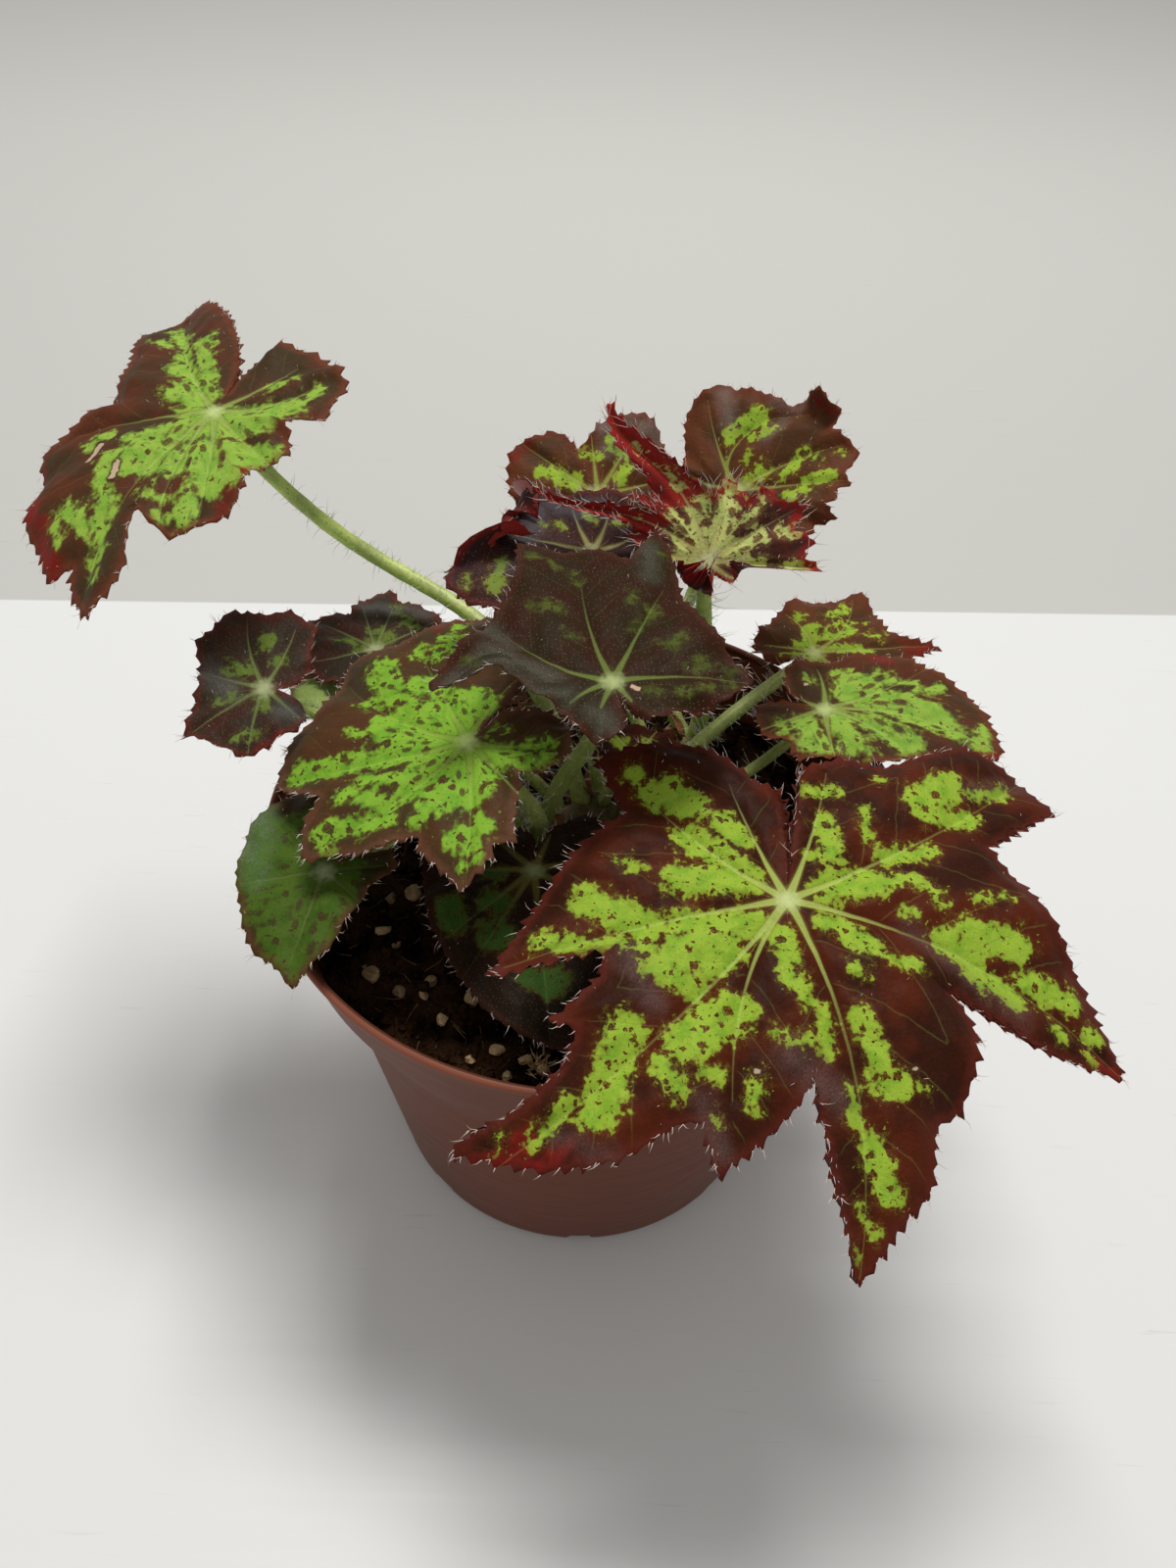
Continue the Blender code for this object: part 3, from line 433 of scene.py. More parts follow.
            (51, 12.8, 42, 16.1, 1.1), (44, 18.2, 42, 17.1, 0.9), (79, 12.8, 80, 11.8, 0.9),
            (5, 3.2, -14, 10.7, 1.4), (3, 13.9, 2, 16.1, 1.0), (168, 5.4, 168, 4.3, 1.2),
            (-169, 2.1, -108, 2.1, 1.2), (115, 4.3, 175, 1.1, 0.9), (21, 15.0, 20, 15.0, 0.5),
        ),
        "blush": ((-13, 20, -11, 25, 1.2),),
    },
    "right_lower_leaf": {
        "look": "bright", "joint": (44.1, 18, 104), "turn": (-10, 8, 0), "reach": 36,
        "hair": 0.9, "wave": 0.5,
        "stalk": (0.64, -70, 1.4, 11, (-9, -2, -10)),
        "bend": ((-180, 0, 4, 8), (180, 0, 4, 8)),
        "outline": (
            (-188, 12), (-166, 13), (-140, 13), (-124, 11), (-104, 14), (-75, 13), (-65, 16), (-45, 18),
            (-29, 21), (-21, 27), (-15, 33), (-8, 32), (3, 30), (17, 28), (26, 26), (46, 24), (59, 22),
            (73, 18), (92, 15), (105, 16), (120, 15), (137, 11), (150, 7), (157, 3), (164, 8),
        ),
        "veins": (
            (15, -14, 33), (-80, -78, 14), (29, 40, 26), (-154, -153, 13), (-11, -35, 20), (90, 100, 14),
            (150, 155, 8),
        ),
        "patches": (
            (81, 11, 54, 9, 1.3), (68, 8, 45, 15, 2.1), (35, 17, 29, 19, 0.8), (22, 19, 22, 23, 1.0),
            (45, 8, 0, 20, 3.8), (-133, 5, -91, 11, 2.3), (-154, 9, -127, 10, 1.0), (-34, 4, -63, 12, 2.3),
            (-17, 9, -25, 17, 2.8), (-8, 21, -10, 29, 1.9), (-61, 13, -51, 14, 1.3),
            (-37, 18, -25, 20, 0.7), (-4, 29, -12, 30, 1.1), (-151, 6, -137, 6, 0.8),
            (108, 10, 107, 9, 0.7),
        ),
        "blush": ((55, 19, 62, 20, 1.6), (-14, 30, -16, 33, 1.0)),
        "scorch": ((120, 8, 121, 8, 0.4),),
    },
    "under_leaf": {
        "look": "maroon", "joint": (8, 10, 97), "turn": (60, 0, 0), "reach": 20,
        "hair": 1.0, "wave": 0.4,
        "stalk": (0.47, -10, 1.2, 4, (0, 0, -4)),
        "bend": ((-180, 0, 3, 6), (180, 0, 3, 6)),
        "outline": (
            (-172, 3), (-155, 7), (-133, 8), (-105, 10), (-86, 12), (-60, 11), (-39, 11), (-10, 9),
            (12, 9), (30, 9), (50, 11), (68, 10), (92, 9), (115, 8), (150, 7), (172, 6), (184, 3),
        ),
        "veins": ((0, 0, 10), (-85, -85, 11), (60, 60, 11), (-40, -40, 11), (120, 120, 8), (-140, -140, 8)),
        "patches": ((0, 2, 0, 5, 1.5), (60, 3, 60, 6, 1.2)),
    },
}

# Rhizome: centre line on the soil as (x, y), and its half-round section
RHIZOME_PATH = ((-15.0, -3.0), (-7.0, 4.0), (4.0, 12.0), (14.0, 21.0), (24.0, 34.0))
RHIZOME_HALF_WIDTH = 4.6
RHIZOME_HEIGHT = 6.0
RHIZOME_END = 0.12  # the part of the length over which each end rounds off

# Blades and stalks
BEND_STEPS = 24
FEWEST_RINGS, MOST_RINGS = 18, 60
BLADE_FRAME_THICKNESS = 0.7
BLADE_THICKNESS, EDGE_THICKNESS = 0.5, 0.22
TOOTH_SHAPE = (0.0, 0.45, 1.0, 0.3)  # height at each quarter of a tooth's width
JOINT_GAP = 0.45
SIDE_VEIN_SPACING = 7.0
SIDE_VEIN_SLANT = 0.9  # how far a side vein runs on along its main vein for each step away from it
STALK_TAPER = 0.8
STALK_SIDES = 20
HAIRIEST = 1.6  # more than this makes hairs longer, not more

# Pot: outside profile as (radius, height), then the bead of the rim
POT_PROFILE = ((41.0, 0.0), (42.4, 2.0), (50.4, 61.0), (56.4, 77.0), (58.9, 88.6))
POT_WALL = 1.2
POT_FLOOR = 1.6
FLOOR_RADIUS = 40.4
BEAD_RADIUS = 0.8
FOOT_CHANNELS = 8
CHANNEL_INNER_RADIUS = 32.0
CHANNEL_HEIGHT = 2.0
CHANNEL_TURN = 2.5  # degrees from the x axis to the first channel

# Stage, in metres and degrees
FAR_LINE, FAR_LINE_SLOPE = 0.186, 0.0483
LAMP_PLACE = (0.02, 0.38, 1.25)
LAMP_AIM = 0.10  # height of the point over the origin that the lamp faces
CAMERA_PLACE = (-0.0005, -0.152, 0.253)
CAMERA_LENS = 27.05
CAMERA_PITCH, CAMERA_ROLL = 45.34, 2.44


def lattice_noise(x, y, size, seed):
    """Smooth noise from -1 to 1: random values on a square lattice of that size, eased between."""
    values = np.random.default_rng(seed).uniform(-1.0, 1.0, (64, 64))
    u, v = np.asarray(x) / size, np.asarray(y) / size
    column, row = np.floor(u).astype(int), np.floor(v).astype(int)
    u, v = u - column, v - row
    u, v = u * u * (3.0 - 2.0 * u), v * v * (3.0 - 2.0 * v)
    corners = [values[(row + up) % 64, (column + over) % 64] for up in (0, 1) for over in (0, 1)]
    return (corners[0] * (1 - u) + corners[1] * u) * (1 - v) + (corners[2] * (1 - u) + corners[3] * u) * v


def unit(vectors):
    """The same vectors at length one."""
    return vectors / np.maximum(np.linalg.norm(vectors, axis=-1, keepdims=True), 1e-9)


def ease(x, low, high):
    """A smooth step from 0 at low to 1 at high."""
    part = np.clip((np.asarray(x) - low) / (high - low), 0.0, 1.0)
    return part * part * (3.0 - 2.0 * part)


def smooth_between(x, knots, values):
    """Values at x, eased from knot to knot with a smooth step."""
    left = np.clip(np.searchsorted(knots, x) - 1, 0, len(knots) - 2)
    part = ease(x, knots[left], knots[left + 1])
    return values[left] * (1.0 - part) + values[left + 1] * part


def turns(sides):
    """Even angles round a circle."""
    return np.arange(sides) * 2.0 * math.pi / sides


def off_angle(degrees, middle):
    """How far angles are from a middle one, at most 180 degrees."""
    return np.abs((degrees - middle + 180.0) % 360.0 - 180.0)


def grid_faces(rows, columns, start=0, closed=True):
    """Quads of a grid of points stored row by row, joined round from its last column to its first."""
    row, column = np.meshgrid(np.arange(rows - 1), np.arange(columns - (not closed)), indexing="ij")
    here = start + row * columns + column
    beside = start + row * columns + (column + 1) % columns
    return np.stack([here, here + columns, beside + columns, beside], -1).reshape(-1, 4)


def fan_faces(centre, first, count, turned=False):
    """Triangles from one point to a closed row of points."""
    here = first + np.arange(count)
    beside = first + (np.arange(count) + 1) % count
    pair = (beside, here) if turned else (here, beside)
    return np.stack([np.full(count, centre), *pair], -1)


def add_piece(name, points, faces, materials, marks=None, slots=None, replaces=()):
    """A mesh piece that rides on the frame, from points in millimetres and arrays of faces.

    slots is the material number of each array of faces, and marks are vectors stored per point."""
    mesh = bpy.data.meshes.new(name)
    corners = np.concatenate([part.ravel() for part in faces]).astype(np.int32)
    sizes = np.concatenate([np.full(len(part), part.shape[1]) for part in faces])
    mesh.vertices.add(len(points))
    mesh.vertices.foreach_set("co", (np.asarray(points, float) * MM).ravel())
    mesh.loops.add(len(corners))
    mesh.loops.foreach_set("vertex_index", corners)
    mesh.polygons.add(len(sizes))
    mesh.polygons.foreach_set("loop_start", (np.cumsum(sizes) - sizes).astype(np.int32))
    for material in materials:
        mesh.materials.append(material)
    if slots:
        numbers = np.concatenate([np.full(len(part), number) for part, number in zip(faces, slots)])
        mesh.polygons.foreach_set("material_index", numbers.astype(np.int32))
    mesh.update(calc_edges=True)
    mesh.shade_smooth()
    for mark, values in (marks or {}).items():
        layer = mesh.attributes.new(mark, "FLOAT_VECTOR", "POINT")
        layer.data.foreach_set("vector", np.asarray(values, np.float32).ravel())
    piece = bpy.data.objects.new(name, mesh)
    bpy.context.collection.objects.link(piece)
    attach(piece, "root")
    if replaces:
        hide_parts(*replaces)
    return piece


# Blades


def blade_axes(turn):
    """The blade's midrib, its left and its upper normal, as the rows of a matrix."""
    heading, rise, roll = np.radians(turn)
    about_z = np.array([[math.cos(heading), -math.sin(heading), 0],
                        [math.sin(heading), math.cos(heading), 0], [0, 0, 1]])
    about_y = np.array([[math.cos(rise), 0, -math.sin(rise)], [0, 1, 0],
                        [math.sin(rise), 0, math.cos(rise)]])
    about_x = np.array([[1, 0, 0], [0, math.cos(roll), -math.sin(roll)],
                        [0, math.sin(roll), math.cos(roll)]])
    return (about_z @ about_y @ about_x).T


def bent_blade(leaf, flat):
    """The blade's own (x, y, z) of flat complex places: the slope along each ray is a quadratic."""
    angle, radius = np.degrees(np.angle(flat)), np.abs(flat)
    table = np.array(leaf["bend"], float)
    start, half, full = (smooth_between(angle, table[:, 0], table[:, column]) for column in (1, 2, 3))
    part = radius[..., None] * (np.arange(BEND_STEPS) + 0.5) / BEND_STEPS / leaf["reach"]
    squared = 2.0 * (full - 2.0 * half + start)
    linear = 4.0 * half - full - 3.0 * start
    slope = np.radians(start[..., None] + linear[..., None] * part + squared[..., None] * part * part)
    out = radius * np.cos(slope).mean(-1)
    down = radius * np.sin(slope).mean(-1)
    return np.stack([out * np.cos(np.radians(angle)), out * np.sin(np.radians(angle)), -down], -1)


def smooth_outline(leaf):
    """A closed curve through the outline's corners, soft at blunt ones and pointed at sharp ones.

    Between corners it is a cubic whose end slopes follow the chord past each corner, and shrink to
    nothing as the outline's turn there goes from 36 to 96 degrees."""
    angle, radius = np.array(leaf["outline"], float).T
    corner = radius * np.exp(1j * np.radians(angle))
    before, after = np.roll(corner, 1), np.roll(corner, -1)
    turn = np.degrees(np.abs(np.angle((after - corner) / (corner - before))))
    chord = after - before
    reach = np.minimum(np.abs(after - corner), np.abs(corner - before))
    slope = chord / np.abs(chord) * reach * np.clip(1.6 - turn / 60.0, 0.0, 1.0)
    step = (np.arange(12) / 12.0)[None, :]
    ends = [part[:, None] for part in (corner, after, slope, np.roll(slope, -1))]
    curve = (ends[0] * (2 * step**3 - 3 * step**2 + 1) + ends[1] * (3 * step**2 - 2 * step**3)
             + ends[2] * (step**3 - 2 * step**2 + step) + ends[3] * (step**3 - step**2)).ravel()
    turned = np.maximum.accumulate(np.unwrap(np.angle(curve)))
    turned += np.linspace(0.0, 1e-4, len(turned))
    return np.abs(curve) * np.exp(1j * turned)


def toothed_margin(leaf, blades, rng):
    """Places round the margin, and the same places moved out to make its teeth.

    Each tooth is a lopsided peak over four places, leaning towards the tip of its lobe."""
    curve = smooth_outline(leaf)
    closed = np.append(curve, curve[0])
    run = np.concatenate([[0.0], np.cumsum(np.abs(np.diff(closed)))])
    teeth = max(12, int(run[-1] * MM / blades.tooth_pitch))
    starts = (np.arange(teeth) + rng.uniform(-0.25, 0.25, teeth)) / teeth * run[-1]
    widths = np.diff(np.append(starts, starts[0] + run[-1]))
    place = (starts[:, None] + widths[:, None] * np.array([0.0, 0.25, 0.5, 0.75])).ravel() % run[-1]
    order = np.argsort(place)
    place = place[order]
    base = np.interp(place, run, closed.real) + 1j * np.interp(place, run, closed.imag)
    rise = (rng.uniform(0.35, 1.3, teeth)[:, None] * np.array(TOOTH_SHAPE)).ravel()[order]
    rise *= leaf.get("teeth", 1.0) * blades.tooth_height / MM * ease(np.abs(base), 4.0, 12.0)
    along = np.roll(base, -1) - np.roll(base, 1)
    along /= np.abs(along)
    lean = np.clip(3.0 * np.real(along * np.conj(base)) / np.abs(base), -1.0, 1.0)
    return base, base + rise * (-1j * along + 0.7 * lean * along)


def vein_field(leaf, flat):
    """Signed distance to the nearest main vein, the way along it, and the vein's half width there.

    A vein's angle goes evenly from its first to its last over its length."""
    veins = np.array(leaf["veins"], float)
    angle, radius = np.degrees(np.angle(flat)), np.abs(flat)
    part = np.clip(radius[..., None] / veins[:, 2], 0.0, 1.0)
    course = veins[:, 0] + (veins[:, 1] - veins[:, 0]) * part
    off = (angle[..., None] - course + 180.0) % 360.0 - 180.0
    nearest = np.abs(off).argmin(-1)
    off = np.radians(np.take_along_axis(off, nearest[..., None], -1)[..., 0])
    part = np.take_along_axis(part, nearest[..., None], -1)[..., 0]
    aside = radius * np.sin(np.clip(off, -math.pi / 2, math.pi / 2))
    width = 0.05 + 0.27 * (1.0 - part) ** 1.2 + 0.45 * np.exp(-radius / 5.0)
    width = width * np.minimum(1.0, leaf["reach"] / 44.0 + 0.1)
    width = np.where(part < 1.0, width, -1.0) - 4.0 * np.clip(np.abs(aside) - 1.5, 0.0, 1.0)
    return aside, radius * np.cos(off), width


def pushed(flat, pushes):
    """Flat places drawn aside: each push moves one place to another, and others exp(-(d/size)^2) as far."""
    moved = flat.copy()
    for angle, radius, new_angle, new_radius, size in pushes:
        place, new_place = (far * np.exp(1j * math.radians(turn))
                            for turn, far in ((angle, radius), (new_angle, new_radius)))
        moved += (new_place - place) * np.exp(-((np.abs(flat - place) / size) ** 2))
    return moved


def folded(leaf, flat):
    """Flat places after the blade's folds, curls and sweeps, and the height that these give them.

    A fold turns both halves of a lobe up about its vein; a curl turns up what is beyond a radius;
    a sweep is a push that carries the markings with it."""
    rise = np.zeros(flat.shape)
    for angle, half, degrees, start in leaf.get("folds", ()):
        vein = np.exp(1j * math.radians(angle))
        ahead, aside = np.real(flat * np.conj(vein)), np.imag(flat * np.conj(vein))
        off = off_angle(np.degrees(np.angle(flat)), angle)
        turn = math.radians(degrees) * ease(ahead, start, start + 8.0)
        turn = turn * (1.0 - ease(off, half * 0.8, half * 1.4))
        flat = (ahead + 1j * aside * np.cos(turn)) * vein
        rise = rise * np.cos(turn) + np.abs(aside) * np.sin(turn)
    for angle, half, start, degrees in leaf.get("curls", ()):
        off = off_angle(np.degrees(np.angle(flat)), angle)
        radius = np.abs(flat)
        beyond = np.maximum(radius - start, 0.0)
        turn = math.radians(degrees) * ease(beyond, 0.0, 5.0) * (1.0 - ease(off, half * 0.5, half))
        flat = flat * (radius - beyond * (1.0 - np.cos(turn))) / np.maximum(radius, 1e-6)
        rise = rise + beyond * np.sin(turn)
    return pushed(flat, leaf.get("sweeps", ())), rise


def stroke_distance(strokes, flat):
    """Distance from flat places to the nearest stroke's edge, below zero inside it."""
    if not strokes:
        return np.full(flat.shape, 99.0)
    ends = np.array(strokes, float)
    first = ends[:, 1] * np.exp(1j * np.radians(ends[:, 0]))
    last = ends[:, 3] * np.exp(1j * np.radians(ends[:, 2]))
    length = np.maximum(np.abs(last - first), 1e-6)
    away = flat[..., None] - first
    ahead = (last - first) / length
    part = np.clip(np.real(away * np.conj(ahead)), 0.0, length)
    return (np.abs(away - part * ahead) - ends[:, 4]).min(-1)


def nearest_margin(flat, margin):
    """For each ring of places, the number of the nearest margin place and how far it is."""
    index = np.zeros(flat.shape, int)
    away = np.zeros(flat.shape)
    for ring, places in enumerate(flat):
        gaps = np.abs(places[:, None] - margin[None, :])
        index[ring] = gaps.argmin(1)
        away[ring] = gaps[np.arange(len(places)), index[ring]]
    return index, away


def blade_sheet(leaf, blades, seed):
    """Everything of one blade on its polar grid: upper points, thickness and surface marks.

    Height above the bent sheet: a groove -g exp(-(d/0.9)^2) along the veins, a pillow that rises
    away from them, sin^2 quilting between side veins that leave the main vein at an angle, two
    sizes of noise, a wave that grows with the fourth power of the way to the margin, and sine
    ruffles in some sectors. Folds and curls are added where they lift the sheet."""
    rng = np.random.default_rng(seed)
    base, toothed = toothed_margin(leaf, blades, rng)
    rings = int(np.clip(np.abs(base).max() * 1.05, FEWEST_RINGS, MOST_RINGS))
    share = (np.arange(1, rings + 1) / rings) ** 0.85
    flat = share[:, None] * base[None, :]
    index, edge = nearest_margin(flat, base)
    flat = flat + (toothed - base)[index] * np.clip(1.0 - edge / 1.6, 0.0, 1.0) ** 2
    flat = pushed(flat, leaf.get("pushes", ()))
    aside, along, width = vein_field(leaf, flat)
    away = np.abs(aside)
    size = leaf["reach"] / 60.0
    quilt = np.sin(math.pi * (along - SIDE_VEIN_SLANT * away) / blades.vein_spacing * MM) ** 2 - 0.5
    inner = ease(np.abs(flat), 1.5, 8.0)
    lift = (-blades.vein_depth / MM * np.exp(-((away / 0.9) ** 2)) * (width > -0.5)
            + 1.2 * (1.0 - np.exp(-((away / 4.0) ** 2))) * ease(edge, 0.0, 4.0)
            + blades.quilt_height / MM * quilt * ease(away, 0.5, 2.5) * ease(edge, 0.0, 2.0)
            + 0.17 * lattice_noise(flat.real, flat.imag, 3.1, seed)
            + 0.10 * lattice_noise(flat.real, flat.imag, 1.3, seed + 1))
    lift = lift * inner * (0.5 + 0.5 * size)
    turn = np.angle(flat)
    ripple = np.sin(9 * turn + seed) + 0.6 * np.sin(17 * turn + 2.0 * seed)
    lift += leaf["wave"] * inner * share[:, None] ** 4 * ripple
    for angle, half, start, height, waves in leaf.get("ruffles", ()):
        off = off_angle(np.degrees(turn), angle)
        lift += (height * ease(np.abs(flat), start, start + 5.0) * (1.0 - ease(off, half * 0.6, half))
                 * np.sin(waves * turn + 0.35 * lattice_noise(flat.real, flat.imag, 6.0, seed + 2)))
    place, rise = folded(leaf, flat)
    local = bent_blade(leaf, place)
    local[..., 2] += lift + rise
    marks = {
        "blade_place": np.stack([flat.real, flat.imag, edge], -1),
        "blade_vein": np.stack([aside, width, np.zeros_like(width)], -1),
        # The third part of blade_side is the distance to the strokes of painted sheen, a greyish highlight
        # on the down
        "blade_side": np.stack([along, away, stroke_distance(leaf.get("painted_sheen", ()), flat)], -1),
        "blade_marks": np.stack([stroke_distance(leaf.get(key, ()), flat)
                                 for key in ("patches", "blush", "scorch")], -1),
    }
    thickness = EDGE_THICKNESS + (BLADE_THICKNESS - EDGE_THICKNESS) * ease(edge, 0.0, 2.0)
    return local, thickness, marks


def blade_mesh(leaf, local, thickness, marks):
    """Points, faces and marks of a closed blade, whose under side has half the rings of its upper."""
    rings, columns = local.shape[:2]
    under = np.arange(rings - 1, 0, -2)[::-1]
    if len(under) % 2 and len(under) > 3:
        under = under[1:]
    lowered = local.copy()
    lowered[..., 2] -= thickness
    axes = blade_axes(leaf["turn"])
    low_points = lowered[under].reshape(-1, 3)
    points = np.vstack([[(0, 0, 0)], local.reshape(-1, 3), [(0, 0, -BLADE_THICKNESS)], low_points])
    points = points @ axes + np.array(leaf["joint"], float)
    low = 1 + rings * columns
    upper = [fan_faces(0, 1, columns), grid_faces(rings, columns, 1)]
    strip = np.stack([low + 1 + (len(under) - 1) * columns + np.arange(columns),
                      1 + (rings - 1) * columns + np.arange(columns)], 0)
    beside = np.roll(strip, -1, axis=1)
    strip = np.stack([strip[0], beside[0], beside[1], strip[1]], -1)
    lower = [strip, fan_faces(low, low + 1, columns, True),
             grid_faces(len(under), columns, low + 1)[:, ::-1]]
    stored = {}
    for key, values in marks.items():
        centre = values[0].mean(0, keepdims=True)
        if key == "blade_place":
            centre = np.array([[0.0, 0.0, 9.0]])
        stored[key] = np.vstack([centre, values.reshape(-1, 3), centre, values[under].reshape(-1, 3)])
    return points, upper + lower, stored, axes


# Hairs


def hair_mesh(roots, directions, lengths, rng, width):
    """Thin three-sided spikes, each bent at half its length and curling over."""
    count = len(roots)
    first = unit(np.cross(directions, rng.normal(size=(count, 3))))
    second = np.cross(directions, first)
    bend = unit(rng.normal(size=(count, 3)) + np.array([0, 0, 0.3]))
    turn = turns(3)
    around = np.cos(turn)[None, :, None] * first[:, None] + np.sin(turn)[None, :, None] * second[:, None]
    length = lengths[:, None]
    low = roots[:, None] + width * around
    middle = (roots + directions * length * 0.5 + bend * length * 0.08)[:, None] + 0.62 * width * around
    tip = (roots + directions * length * 0.88 + bend * length * 0.42)[:, None]
    points = np.concatenate([low, middle, tip], 1).reshape(-1, 3)
    quads = np.array([[0, 1, 4, 3], [1, 2, 5, 4], [2, 0, 3, 5]])
    triangles = np.array([[3, 4, 6], [4, 5, 6], [5, 3, 6], [0, 2, 1]])
    start = 7 * np.arange(count)[:, None, None]
    return points, [(quads + start).reshape(-1, 4), (triangles + start).reshape(-1, 3)]


def merge(parts):
    """One (points, faces) from several, with quads and triangles kept apart."""
    points, quads, triangles, start = [], [], [], 0
    for places, faces in parts:
        points.append(places)
        for face in faces:
            (quads if face.shape[1] == 4 else triangles).append(face + start)
        start += len(places)
    kept = [np.concatenate(group) for group in (quads, triangles) if group]
    return np.vstack(points), kept


def blade_hairs(leaf, points, columns, rings, axes, blades, rng):
    """Roots, directions and lengths of the hairs on one blade's margin and upper side."""
    amount = leaf["hair"]
    upper = points[1:1 + rings * columns].reshape(rings, columns, 3)
    count = int(columns * 0.5 * min(amount, HAIRIEST))
    pick = rng.integers(0, columns, count)
    outward = unit(upper[-1, pick] - upper[-4, pick])
    spread = rng.normal(scale=0.35, size=(count, 3))
    margin = (upper[-1, pick] - 0.15 * outward, unit(outward + spread + 0.25 * axes[2]),
              rng.uniform(0.5, 1.25, count) * blades.hair_length / MM * (1.0 + 0.7 * (amount > HAIRIEST)))
    count = int(columns * 0.12 * amount)
    ring = (rings * np.sqrt(rng.uniform(0.02, 0.95, count))).astype(int)
    pick = rng.integers(0, columns, count)
    top = (upper[ring, pick] - 0.05 * axes[2], unit(axes[2] + rng.normal(scale=0.5, size=(count, 3))),
           rng.uniform(0.25, 0.5, count) * blades.hair_length / MM * (1.0 + 0.8 * (amount > HAIRIEST)))
    return [np.concatenate(pair) for pair in zip(margin, top)]


# Stalks and rhizome


def rhizome_line(part):
    """The centre line on the soil and its direction, at parts of its length from 0 to 1."""
    knots = np.linspace(0.0, 1.0, len(RHIZOME_PATH))
    curve = np.polyfit(knots, np.array(RHIZOME_PATH), 3)
    place = sum(term * np.asarray(part)[..., None] ** power for power, term in enumerate(curve[::-1]))
    step = sum(power * term * np.asarray(part)[..., None] ** max(power - 1, 0)
               for power, term in enumerate(curve[::-1]))
    return place, step / np.linalg.norm(step, axis=-1, keepdims=True)


def rhizome_surface(part, side, swell_out=0.0):
    """A point of the rhizome's surface and its outward direction; side 0 is its crest."""
    part = np.asarray(part, float)
    side = np.radians(np.asarray(side, float))
    place, along = rhizome_line(part)
    left = np.stack([-along[..., 1], along[..., 0]], -1)
    nearest_end = np.minimum(part, 1.0 - part)
    swell = np.sqrt(np.clip(1.0 - (1.0 - np.clip(nearest_end / RHIZOME_END, 0.05, 1.0)) ** 2, 0.0, 1.0))
    across = (RHIZOME_HALF_WIDTH * swell + swell_out) * np.sin(side)
    height = SOIL_TOP + GAP + (RHIZOME_HEIGHT * swell + swell_out) * np.cos(side)
    point = np.concatenate([place + across[..., None] * left, height[..., None]], -1)
    outward = np.concatenate([np.sin(side)[..., None] * left, np.cos(side)[..., None]], -1)
    return point, outward


def stalk_line(leaf, stations):
    """The stalk's centre line from inside the rhizome to inside the blade, and its radius."""
    part, side, radius, root_pull, joint_pull = leaf["stalk"]
    root, outward = rhizome_surface(part, side)
    normal = blade_axes(leaf["turn"])[2]
    root = root + (GAP + radius * 0.25) * outward
    end = np.array(leaf["joint"]) - (BLADE_FRAME_THICKNESS + JOINT_GAP) * normal
    pulls = (root, root + root_pull * outward, end + np.array(joint_pull, float), end)
    step = np.linspace(0.0, 1.0, stations)[:, None]
    weights = ((1 - step) ** 3, 3 * step * (1 - step) ** 2, 3 * step**2 * (1 - step), step**3)
    line = sum(weight * pull for weight, pull in zip(weights, pulls))
    line = np.vstack([root - 1.5 * outward, line, end + 0.8 * normal])
    run = np.concatenate([[0.0], np.cumsum(np.linalg.norm(np.diff(line, axis=0), axis=1))])
    share = run / run[-1]
    girth = leaf.get("slim", 0.9) * radius * (1.0 + (STALK_TAPER - 1.0) * share)
    girth = girth * (1.0 + 0.3 * np.exp(-run / 2.5) + 0.25 * np.exp(-(run[-1] - run) / 1.5))
    return line, girth, run


def stalk_mesh(leaf, seed):
    """A closed tube along the stalk, with shallow ribs and noise."""
    line, girth, run = stalk_line(leaf, 64)
    along = unit(np.gradient(line, axis=0))
    across = unit(np.cross(along, (0.31, -0.95, 0.05)))
    third = np.cross(along, across)
    turn = turns(STALK_SIDES)
    rough = (1.0 + 0.03 * np.cos(5 * turn)[None, :]
             + 0.05 * lattice_noise(turn[None, :], run[:, None], 1.7, seed))
    offset = np.cos(turn)[None, :, None] * across[:, None] + np.sin(turn)[None, :, None] * third[:, None]
    tube = line[:, None] + (girth[:, None] * rough)[..., None] * offset
    points = np.vstack([line[:1], tube.reshape(-1, 3), line[-1:]])
    last = len(points) - 1
    faces = [grid_faces(len(line), STALK_SIDES, 1)[:, ::-1], fan_faces(0, 1, STALK_SIDES, True),
             fan_faces(last, last - STALK_SIDES, STALK_SIDES)]
    return points, faces, (line, girth, run, offset)


# Shader building


class Value:
    """One output of a shader node. Arithmetic on it adds Math nodes to the same tree."""

    def __init__(self, made, key=0):
        self.tree, self.socket = made.id_data, made.outputs[key]

    def __add__(self, other):
        return maths("ADD", self, other)

    def __sub__(self, other):
        return maths("SUBTRACT", self, other)

    def __rsub__(self, other):
        return maths("SUBTRACT", other, self)

    def __mul__(self, other):
        return maths("MULTIPLY", self, other)

    def __pow__(self, other):
        return maths("POWER", self, other)

    def step(self, low, high):
        """A smooth step from 0 at low to 1 at high, which may be the smaller of the two."""
        return Value(node("MapRange", {"Value": self, "From Min": low, "From Max": high},
                          interpolation_type="SMOOTHSTEP"))

    def parts(self):
        """The x, y and z of a vector, or the first three parts of a colour."""
        made = node("SeparateXYZ", {0: self})
        return [Value(made, key) for key in range(3)]


def put(socket, value):
    """Sets an input to a number, a vector or a colour, or links a Value to it."""
    if isinstance(value, Value):
        value.tree.links.new(value.socket, socket)
    else:
        socket.default_value = (*value, 1.0) if socket.type == "RGBA" else value


def node(kind, inputs, tree=None, **settings):
    """One node with its settings and inputs, in the tree of the first Value among them."""
    tree = tree or next(value.tree for value in inputs.values() if isinstance(value, Value))
    made = tree.nodes.new("ShaderNode" + kind)
    for name, value in settings.items():
        setattr(made, name, value)
    for key, value in inputs.items():
        put(made.inputs[key], value)
    return made


def maths(operation, *values):
    return Value(node("Math", dict(enumerate(values)), operation=operation))


